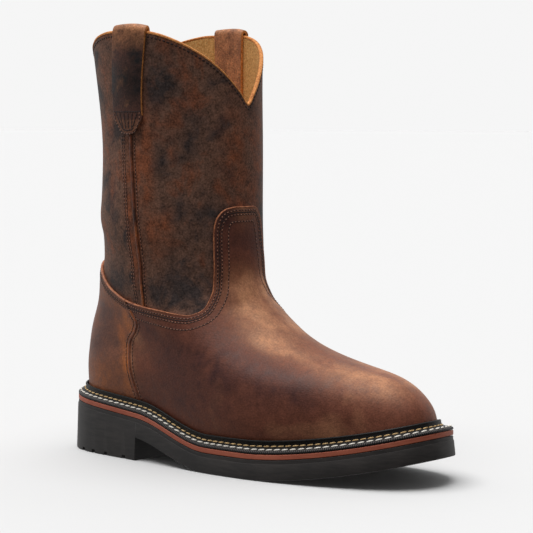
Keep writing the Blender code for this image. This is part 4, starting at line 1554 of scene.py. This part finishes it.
@dataclass
class SoleUnit:
    """Outsole with its heel block, the brick red midsole and the footbed."""

    last: BootLast
    palette: Palette
    half_stations: int = 120
    # distance of the breast's two stations, and the least turn between stations there
    breast_pair: float = 0.8
    station_gap: float = 0.003
    # angle in degrees past which the moulded edges stay sharp
    sharp_edge: float = 28.0
    # how far the outsole stands out at each height over its underside, from the tread up,
    # and from the line of the moulded ledge on as heights below its top
    low_rings: tuple[tuple[float, float], ...] = ((0.0, 0.9), (0.3, 1.4), (1.0, 1.6))
    high_rings: tuple[tuple[float, float], ...] = (
        (3.1, 0.55), (2.7, 0.4), (2.6, 0.1), (0.3, 0.0), (0.0, -0.3))
    heel_grooves: tuple[float, ...] = (-128.0, -115.5, -101.5, -82.0)
    heel_groove_width: float = 3.6
    heel_groove_depth: float = 2.6
    heel_groove_past: float = 6.0
    tread_grooves: int = 9
    tread_pitch: float = 15.0
    tread_groove_width: float = 4.0
    tread_groove_depth: float = 2.2
    tread_margin: float = 11.0

    def turns(self) -> Array:
        """Stations round the sole, with a pair of them at the heel breast.

        Returns:
            The turn of each station.
        """
        last = self.last
        exact = np.array([last.breast_x, last.breast_x + self.breast_pair]) / last.sole_length + 0.5
        fixed = np.arccos(2 * exact - 1) / math.pi
        even = np.linspace(0.0, 1.0, self.half_stations)
        even = [t for t in even if np.min(np.abs(fixed - t)) > self.station_gap]
        half = np.sort(np.concatenate([even, fixed]))
        return np.concatenate([half, -half[-2:0:-1]])

    def ladder(self, name: str, rings: Sequence[Array],
               material: bpy.types.Material) -> bpy.types.Object:
        """Slab whose faces pair each outer point with the inner one across.

        Args:
            name: Object's name.
            rings: Rings of points, from the underside up.
            material: Finish.

        Returns:
            The slab.
        """
        sketch = Sketch()
        rows, count = len(rings), len(rings[0])
        middle = count // 2
        for ring in rings:
            sketch.add_points(ring)
        sketch.add_grid(rows, count, 0, True)
        for first in (0, (rows - 1) * count):
            sketch.add_cap((first, first + 1, first + count - 1))
            for j in range(1, middle - 1):
                sketch.add_cap((first + j, first + j + 1, first + count - j - 1,
                                first + count - j))
            sketch.add_cap((first + middle - 1, first + middle, first + middle + 1))
        return sketch.build(name, [material], sharp=self.sharp_edge)

    def groove(self, x: float, past: float, width: float, depth: float) -> bpy.types.Object:
        """Box that cuts one groove across the tread, laid along the underside.

        Args:
            x: Place of the groove.
            past: How far it runs past the sole's outline at each end.
            width: Width of the groove.
            depth: Depth of the groove.

        Returns:
            The box.
        """
        last = self.last
        forward = x > last.breast_x
        low = float(last.underside(x)) if forward else 0.0
        rise = float(last.underside(x + 2.0) - last.underside(x - 2.0)) if forward else 0.0
        slope = math.atan2(rise, 4.0)
        share = x / last.sole_length + 0.5
        bow = math.sqrt(4 * share * (1 - share))
        sketch = Sketch()
        for y in (-bow * float(last.sole_side[Side.OUTER](share)) - past,
                  bow * float(last.sole_side[Side.INNER](share)) + past):
            ring = [(x + dx - dz * math.sin(slope), y, low + dz + dx * math.tan(slope))
                    for dx, dz in ((-width / 2, -6.0), (width / 2, -6.0), (width / 2, depth),
                                   (-width / 2, depth))]
            sketch.add_points(np.array(ring))
        sketch.add_grid(2, 4, 0, True)
        sketch.add_cap((0, 1, 2, 3))
        sketch.add_cap((4, 5, 6, 7))
        return sketch.build("groove_cutter", [self.palette.black_rubber])

    def build(self) -> None:
        """Make the outsole and midsole and finish the footbed."""
        last, palette, turn = self.last, self.palette, self.turns()
        top = last.outsole_top
        rings = [last.sole_ring(turn, height, spread) for height, spread in self.low_rings]
        rings += [last.sole_ring(turn, top - down, spread) for down, spread in self.high_rings]
        # behind the breast the heel block reaches down to the floor
        heel = rings[0][:, 0] <= last.breast_x + 0.3
        for ring, (height, _) in zip(rings, self.low_rings):
            ring[heel, 2] = height
        outsole = self.ladder("outsole_unit", rings, palette.black_rubber)
        cutters = [self.groove(x, self.heel_groove_past, self.heel_groove_width,
                               self.heel_groove_depth) for x in self.heel_grooves]
        cutters += [self.groove(self.tread_pitch * i, -self.tread_margin, self.tread_groove_width,
                                self.tread_groove_depth) for i in range(self.tread_grooves)]
        for cutter in cutters:
            modifier = outsole.modifiers.new("groove", "BOOLEAN")
            modifier.operation = "DIFFERENCE"
            modifier.solver = "EXACT"
            modifier.object = cutter
        plain_copy(outsole)
        for cutter in cutters:
            bpy.data.objects.remove(cutter, do_unlink=True)
        outsole.data.set_sharp_from_angle(angle=math.radians(self.sharp_edge))
        dress(outsole, "black_rubber", "outsole")
        low, high = last.midsole_bottom, last.midsole_top
        rings = [last.sole_ring(turn, low, -0.3), last.sole_ring(turn, low + 0.4, 0.1),
                 last.sole_ring(turn, high - 0.4, 0.1), last.sole_ring(turn, high, -0.3)]
        midsole = self.ladder("midsole_plate", rings, palette.brick_rubber)
        dress(midsole, "brick_rubber", "midsole")
        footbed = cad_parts["insole"]
        for slot in footbed.material_slots:
            slot.material = palette.board


@dataclass
class Welt:
    """Storm welt: a sloped strip with a raised rib against the upper."""

    last: BootLast
    palette: Palette
    rib: float = 4.2
    columns: int = 320
    outline_points: int = 720

    def __post_init__(self) -> None:
        """Measure how far the welt reaches past the feather line."""
        self.turn = even_turns(self.columns)
        self.feather = self.last.skin(self.turn, np.zeros(self.columns))[:, :2]
        self.outward = ring_outward(self.feather)
        turn = np.linspace(-1.0, 1.0, self.outline_points + 1)[:-1]
        ring = self.last.sole_ring(turn, 0.0)[:, :2]
        self.reach = reach_to(ring, self.feather, self.outward)

    def line(self, out: float, height: float, lean: float = 0.0,
             back: float | None = None) -> Array:
        """Ring of points on the welt.

        Args:
            out: Distance out from the feather line.
            height: Height over the feather line.
            lean: Share of the upper's own lean that it follows.
            back: Distance in from the welt's edge, in place of out.

        Returns:
            Points in millimetres.
        """
        far = np.full(self.columns, out) if back is None else self.reach - back
        if lean > 0.0:
            level = self.last.level_at(self.turn, self.last.seat(self.feather[:, 0]) + height)
            over = self.last.skin(self.turn, level)[:, :2] - self.feather
            far = far + lean * np.sum(over * self.outward, axis=1)
        flat = self.feather + self.outward * far[:, None]
        return np.column_stack([flat, self.last.seat(flat[:, 0]) + height])

    def build(self) -> None:
        """Make the welt."""
        floor = self.last.welt_bottom - self.last.seat_height
        rib = self.rib
        # out, height, lean, back from the edge, knurling
        section = ((-3.5, -0.5, 0.0, None, 0), (2.5, -0.5, 0.0, None, 0), (2.7, 2.2, 1.0, None, 0),
                   (2.9, rib - 0.4, 1.0, None, 0), (3.2, rib, 1.0, None, 0),
                   (3.9, rib, 1.0, None, 0), (4.35, rib - 0.5, 1.0, None, 0),
                   (4.45, rib - 1.0, 1.0, None, 0), (4.25, rib - 1.5, 1.0, None, 0),
                   (4.4, 1.6, 0.7, None, 0), (4.6, 0.2, 0.3, None, 0), (0.0, -1.5, 0.0, 2.0, 0),
                   (0.0, -2.0, 0.0, 1.3, 1), (0.0, -2.3, 0.0, 0.6, 1), (0.0, -2.7, 0.0, 0.1, 1),
                   (0.0, -3.1, 0.0, -0.1, 1), (0.0, floor + 0.3, 0.0, -0.1, 0),
                   (0.0, floor, 0.0, 0.3, 0), (-3.5, floor, 0.0, None, 0))
        run = length_along(self.line(0.0, 0.0, 0.0, 0.0))
        rings = np.array([self.line(*row[:4]) for row in section])
        sketch = Sketch()
        sketch.add_tube(rings, True, run=np.tile(run, len(section)),
                        wheel=np.repeat([float(row[4]) for row in section], self.columns))
        welt = sketch.build("storm_welt", [self.palette.welt], sharp=60.0)
        dress(welt, "welt_leather", "welt")


@dataclass
class StitchKind:
    """Size of one kind of stitch and the rows that it runs along.

    Sizes are in millimetres and the yaw, a stitch's turn in its row, in degrees.
    """

    name: str
    material: bpy.types.Material
    slot: str
    pitch: float
    length: float
    width: float
    height: float
    yaw: float = 0.0
    # False for the sunk track, which also shows where the thread has gone
    thread: bool = True
    paths: list[tuple[Array, Array]] = field(default_factory=list)

    def add(self, points: Array, outward: Array, closed: bool = False) -> None:
        """Add a row of stitches.

        Args:
            points: Points along the row.
            outward: Direction that the stitches face at each point.
            closed: Whether the row joins up.
        """
        if closed:
            points = np.concatenate([points, points[:1]])
            outward = np.concatenate([outward, outward[:1]])
        self.paths.append((points, outward))

    def tree(self) -> bpy.types.NodeTree:
        """Geometry nodes that lay the stitches along their lines.

        Returns:
            The node tree, with named inputs for the stitch's sizes.
        """
        tree = bpy.data.node_groups.new(self.name + "_nodes", "GeometryNodeTree")
        tree.interface.new_socket("Geometry", in_out="INPUT", socket_type="NodeSocketGeometry")
        for label in ("Pitch", "Length", "Width", "Height", "Yaw"):
            tree.interface.new_socket(label, in_out="INPUT", socket_type="NodeSocketFloat")
        tree.interface.new_socket("Geometry", in_out="OUTPUT", socket_type="NodeSocketGeometry")
        given = add_node(tree, "NodeGroupInput").outputs
        curve = add_node(tree, "GeometryNodeMeshToCurve", links={"Mesh": given["Geometry"]})
        rows = add_node(tree, "GeometryNodeResampleCurve", settings={"mode": "LENGTH"}, links={
            "Curve": curve.outputs["Curve"], "Length": given["Pitch"]})
        along = add_node(tree, "GeometryNodeInputTangent")
        out = add_node(tree, "GeometryNodeInputNamedAttribute", settings={
            "data_type": "FLOAT_VECTOR"}, values={"Name": "outward"})
        first = add_node(tree, "FunctionNodeAlignRotationToVector", settings={"axis": "X"},
                         links={"Vector": along.outputs["Tangent"]})
        second = add_node(tree, "FunctionNodeAlignRotationToVector", settings={
            "axis": "Z", "pivot_axis": "X"}, links={
            "Rotation": first.outputs["Rotation"], "Vector": out.outputs["Attribute"]})
        spin = add_node(tree, "ShaderNodeCombineXYZ", links={"Z": given["Yaw"]})
        turned = add_node(tree, "FunctionNodeRotateRotation", settings={"rotation_space": "LOCAL"},
                          links={"Rotation": second.outputs["Rotation"],
                                 "Rotate By": spin.outputs["Vector"]})
        grain = add_node(tree, "GeometryNodeMeshUVSphere", values={
            "Segments": 8, "Rings": 6, "Radius": 0.5})
        size = add_node(tree, "ShaderNodeCombineXYZ", links={
            "X": given["Length"], "Y": given["Width"], "Z": given["Height"]})
        loop = add_node(tree, "GeometryNodeTransform", links={
            "Geometry": grain.outputs["Mesh"], "Scale": size.outputs["Vector"]})
        smooth = add_node(tree, "GeometryNodeSetShadeSmooth", links={
            "Geometry": loop.outputs["Geometry"]})
        laid = add_node(tree, "GeometryNodeInstanceOnPoints", links={
            "Points": rows.outputs["Curve"], "Instance": smooth.outputs["Geometry"],
            "Rotation": turned.outputs["Rotation"]})
        real = add_node(tree, "GeometryNodeRealizeInstances", links={
            "Geometry": laid.outputs["Instances"]})
        dressed = add_node(tree, "GeometryNodeSetMaterial", values={"Material": self.material},
                           links={"Geometry": real.outputs["Geometry"]})
        add_node(tree, "NodeGroupOutput", links={"Geometry": dressed.outputs["Geometry"]})
        return tree

    def build(self) -> None:
        """Lay every row as one piece."""
        mesh = bpy.data.meshes.new(self.name)
        points = np.concatenate([p for p, _ in self.paths]) * MM
        outward = np.concatenate([o for _, o in self.paths]).astype(np.float32)
        edges, start = [], 0
        for path, _ in self.paths:
            edges += [(i, i + 1) for i in range(start, start + len(path) - 1)]
            start += len(path)
        mesh.from_pydata([tuple(p) for p in points], edges, [])
        layer = mesh.attributes.new("outward", "FLOAT_VECTOR", "POINT")
        layer.data.foreach_set("vector", outward.ravel())
        thing = bpy.data.objects.new(self.name, mesh)
        bpy.context.scene.collection.objects.link(thing)
        modifier = thing.modifiers.new("stitches", "NODES")
        tree = modifier.node_group = self.tree()
        sizes = {"Pitch": self.pitch * MM, "Length": self.length * MM, "Width": self.width * MM,
                 "Height": self.height * MM, "Yaw": math.radians(self.yaw)}
        for socket in tree.interface.items_tree:
            if socket.in_out == "INPUT" and socket.name in sizes:
                modifier[socket.identifier] = sizes[socket.name]
        thing.update_tag()
        bpy.context.view_layer.update()
        plain_copy(thing)
        dress(thing, self.slot)


@dataclass
class Stitching:
    """All the sewing that shows."""

    last: BootLast
    palette: Palette
    foxing: Foxing
    seams: ShaftSeams
    straps: PullStraps
    welt: Welt
    # distance below the foxing's top line, turn where the row ends, thread left in it
    foxing_lines: tuple[tuple[float, float, bool], ...] = (
        (2.2, 1.0, True), (5.2, 1.0, True), (10.0, 0.585, True), (3.7, 1.0, False))
    # distance from the shaft's piping towards the toe, thread left in it
    shaft_lines: tuple[tuple[float, bool], ...] = (
        (3.0, True), (-1.3, False), (-7.0, True), (-9.2, True))
    foot_shifts: tuple[float, float] = (-3.6, 3.4)
    shaft_heights: tuple[float, float] = (109.5, 224.0)
    foot_levels: tuple[float, float] = (0.35, 5.5)
    collar_drop: float = 3.2
    row_steps: int = 90
    collar_steps: int = 500
    strap_steps: int = 30
    over_leather: float = 0.05
    over_shaft: float = 0.08

    def on_leather(self, turn: Array, level: Array, depth: float) -> tuple[Array, Array]:
        """Points and outward directions of a line at a depth over the skin."""
        return self.last.on_skin(turn, level, depth), self.last.skin_frame(turn, level)[1]

    def foxing_rows(self, kind: StitchKind) -> None:
        """Rows inside the top line of vamp and counter.

        Args:
            kind: Stitches that take the rows.
        """
        for distance, reach, thread in self.foxing_lines:
            if thread or not kind.thread:
                turn, level = self.foxing.inside_line(-reach, reach, distance)
                over = self.foxing.outer_depth + self.over_leather
                kind.add(*self.on_leather(turn, level, over))

    def seam_rows(self, kind: StitchKind) -> None:
        """Rows beside the shaft's piping and the foot seam.

        Args:
            kind: Stitches that take the rows.
        """
        for side in Side:
            for shift, thread in self.shaft_lines:
                if thread or not kind.thread:
                    turn, level = self.seams.line(side, shift, *self.shaft_heights)
                    kind.add(*self.on_leather(turn, level, self.over_shaft))
            for shift in self.foot_shifts:
                level = np.linspace(*self.foot_levels, self.row_steps)
                turn = side.value * self.foxing.seam_turn(level)
                along = self.last.skin_frame(turn, level)[2]
                turn = turn - side.value * shift / np.linalg.norm(along, axis=-1)
                over = self.foxing.outer_depth + self.over_leather
                kind.add(*self.on_leather(turn, level, over))

    def collar_row(self, kind: StitchKind) -> None:
        """Row under the collar's edge.

        Args:
            kind: Stitches that take the row.
        """
        turn = np.linspace(-1.0, 1.0, self.collar_steps)
        level = self.last.level_at(turn, self.last.collar_height(turn) - self.collar_drop)
        kind.add(*self.on_leather(turn, level, self.over_shaft))

    def strap_rows(self, kind: StitchKind) -> None:
        """Rows on each strap's tab: a bar, two outlines and four short rows down it.

        Args:
            kind: Stitches that take the rows.
        """
        straps = self.straps
        half = straps.width / 2
        bar = [(-half + 1.5, 242.0), (half - 1.5, 242.0)]
        outline = [(-half + 1.5, 241.0), (-half + 2.0, 236.0), (-6.3, 227.8), (0.0, 226.8),
                   (6.3, 227.8), (half - 2.0, 236.0), (half - 1.5, 241.0)]
        inside = [(-half + 4.0, 240.0), (-4.4, 230.0), (0.0, 229.2), (4.4, 230.0),
                  (half - 4.0, 240.0)]
        short = [[(x, 240.0), (x * 0.75, 232.0)] for x in (-5.7, -1.9, 1.9, 5.7)]
        for side in Side:
            for line in [outline] if kind.thread else [bar, outline, inside, *short]:
                at = np.linspace(0.0, len(line) - 1.0, self.strap_steps)
                offset = np.interp(at, range(len(line)), [p[0] for p in line])
                height = np.interp(at, range(len(line)), [p[1] for p in line])
                turn = straps.turn_at(side, height, offset)
                level = self.last.level_at(turn, height)
                over = straps.gap + straps.thickness + self.over_leather
                kind.add(*self.on_leather(turn, level, over))

    def build(self) -> None:
        """Sew the boot."""
        palette, welt = self.palette, self.welt
        track = StitchKind("upper_stitch_tracks", palette.dark_thread, "shaft_leather", pitch=2.6,
                           length=3.0, width=1.1, height=0.3, thread=False)
        # pale stitches over the dark tracks: worn thread, and painted highlight on the stitch rows
        fine = StitchKind("upper_stitches", palette.brown_thread, "shaft_leather", pitch=2.6,
                          length=1.5, width=0.9, height=0.7)
        for kind in (track, fine):
            self.foxing_rows(kind)
            self.seam_rows(kind)
            self.strap_rows(kind)
        collar = StitchKind("collar_stitches", palette.dark_thread, "shaft_leather", pitch=3.0,
                            length=2.2, width=1.3, height=0.6, yaw=8.0)
        self.collar_row(collar)
        upright = np.tile([0.0, 0.0, 1.0], (welt.columns, 1))
        flat = np.column_stack([welt.outward, np.zeros(welt.columns)])
        tan = StitchKind("welt_tan_stitches", palette.tan_thread, "welt_leather", pitch=5.3,
                         length=4.7, width=1.15, height=1.0, yaw=4.0)
        tan.add(welt.line(4.95, 0.35, 0.3), flat * 0.7 + upright * 0.7, closed=True)
        white = StitchKind("welt_white_stitches", palette.white_thread, "welt_leather", pitch=6.0,
                           length=5.0, width=1.3, height=1.1, yaw=9.0)
        white.add(welt.line(0.0, -1.45, 0.0, 1.7), flat * 0.35 + upright * 0.9, closed=True)
        for kind in (track, fine, collar, tan, white):
            kind.build()


@dataclass
class Studio:
    """Pale floor, soft light and the camera at the photograph's angle.

    Angles are in degrees and lengths in metres.
    """

    azimuth: float = 39.44
    elevation: float = 4.37
    distance: float = 1.414
    sensor_mm: float = 36.0
    # width of the photograph, focal length, and where the aim falls, in pixels
    pixels: float = 533.0
    focal_pixels: float = 2059.0
    aim: tuple[float, float, float] = (0.0, 0.0, 0.130)
    aim_pixel: tuple[float, float] = (254.8, 275.3)
    # the softbox overhead: strength, where it hangs and how wide it looks
    key: float = 2.9
    key_from: tuple[float, float, float] = (-0.10, -0.16, 1.0)
    key_angle: float = 55.0
    # light from all round, from the pale screens, and the ground that the camera sees
    fill: float = 0.18
    screen: float = 0.8
    screen_way: tuple[float, float, float] = (-0.74, 0.65, 0.16)
    screen_start: float = -0.3
    screen_full: float = 0.9
    backdrop: float = 0.92
    floor_size: float = 60.0
    floor_colour: str = "#dadada"

    def build(self) -> None:
        """Make the studio."""
        bpy.context.scene.view_settings.view_transform = "Standard"
        self.screens()
        self.floor()
        self.softbox()
        self.camera()

    def screens(self) -> None:
        """Light the surroundings: dim, but bright where pale screens stand."""
        world = bpy.data.worlds.new("studio")
        world.use_nodes = True
        tree = world.node_tree
        background = tree.nodes["Background"]
        background.inputs["Color"].default_value = (1.0, 1.0, 1.0, 1.0)
        way = add_node(tree, "ShaderNodeTexCoord").outputs["Generated"]
        toward = add_node(tree, "ShaderNodeVectorMath", settings={"operation": "DOT_PRODUCT"},
                          values={1: self.screen_way}, links={0: way})
        screen = add_node(tree, "ShaderNodeMapRange", settings={
            "interpolation_type": "SMOOTHSTEP"}, values={
            "From Min": self.screen_start, "From Max": self.screen_full, "To Min": self.fill,
            "To Max": self.screen}, links={"Value": toward.outputs["Value"]})
        seen = add_node(tree, "ShaderNodeLightPath").outputs["Is Camera Ray"]
        strength = add_node(tree, "ShaderNodeMix", values={3: self.backdrop}, links={
            0: seen, 2: screen.outputs["Result"]})
        tree.links.new(strength.outputs[0], background.inputs["Strength"])
        bpy.context.scene.world = world

    def floor(self) -> None:
        """Lay the pale floor."""
        bpy.ops.mesh.primitive_plane_add(size=self.floor_size, location=(0.0, 0.0, 0.0))
        floor = bpy.context.object
        floor.name = "studio_floor"
        material = bpy.data.materials.new("pale_paper")
        material.use_nodes = True
        shader = material.node_tree.nodes["Principled BSDF"]
        shader.inputs["Base Color"].default_value = linear(self.floor_colour)
        shader.inputs["Roughness"].default_value = 0.95
        shader.inputs["Specular IOR Level"].default_value = 0.1
        floor.data.materials.append(material)
        # the floor takes the shadow but throws no light back on the boot, so the sole stays dark
        floor.visible_diffuse = False
        floor.visible_glossy = False

    def softbox(self) -> None:
        """Hang the softbox over the boot."""
        data = bpy.data.lights.new("overhead_softbox", "SUN")
        data.energy = self.key
        data.angle = math.radians(self.key_angle)
        key = bpy.data.objects.new("overhead_softbox", data)
        key.rotation_euler = Vector(self.key_from).to_track_quat("Z", "Y").to_euler()
        bpy.context.scene.collection.objects.link(key)

    def camera(self) -> None:
        """Place the camera."""
        turn, tilt = math.radians(self.azimuth), math.radians(self.elevation)
        back = Vector((math.sin(turn) * math.cos(tilt), -math.cos(turn) * math.cos(tilt),
                       math.sin(tilt)))
        right = Vector((math.cos(turn), math.sin(turn), 0.0))
        data = bpy.data.cameras.new("camera")
        data.sensor_width = self.sensor_mm
        data.lens = self.focal_pixels / self.pixels * self.sensor_mm
        data.shift_x = (self.pixels / 2 - self.aim_pixel[0]) / self.pixels
        data.shift_y = (self.aim_pixel[1] - self.pixels / 2) / self.pixels
        camera = bpy.data.objects.new("camera", data)
        matrix = Matrix((right, back.cross(right), back)).transposed().to_4x4()
        matrix.translation = Vector(self.aim) + back * self.distance
        camera.matrix_world = matrix
        bpy.context.scene.collection.objects.link(camera)
        bpy.context.scene.camera = camera


def main() -> None:
    """Build the boot piece by piece."""
    logging.basicConfig(level=logging.INFO, format="%(message)s")
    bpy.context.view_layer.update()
    last = BootLast()
    palette = Palette()
    ShaftAndLining(last, palette).build()
    foxing = Foxing(last, palette)
    foxing.build()
    seams = ShaftSeams(last, palette)
    seams.build()
    straps = PullStraps(last, palette)
    straps.build()
    SoleUnit(last, palette).build()
    welt = Welt(last, palette)
    welt.build()
    Stitching(last, palette, foxing, seams, straps, welt).build()
    Studio().build()


if __name__ == "__main__":
    main()
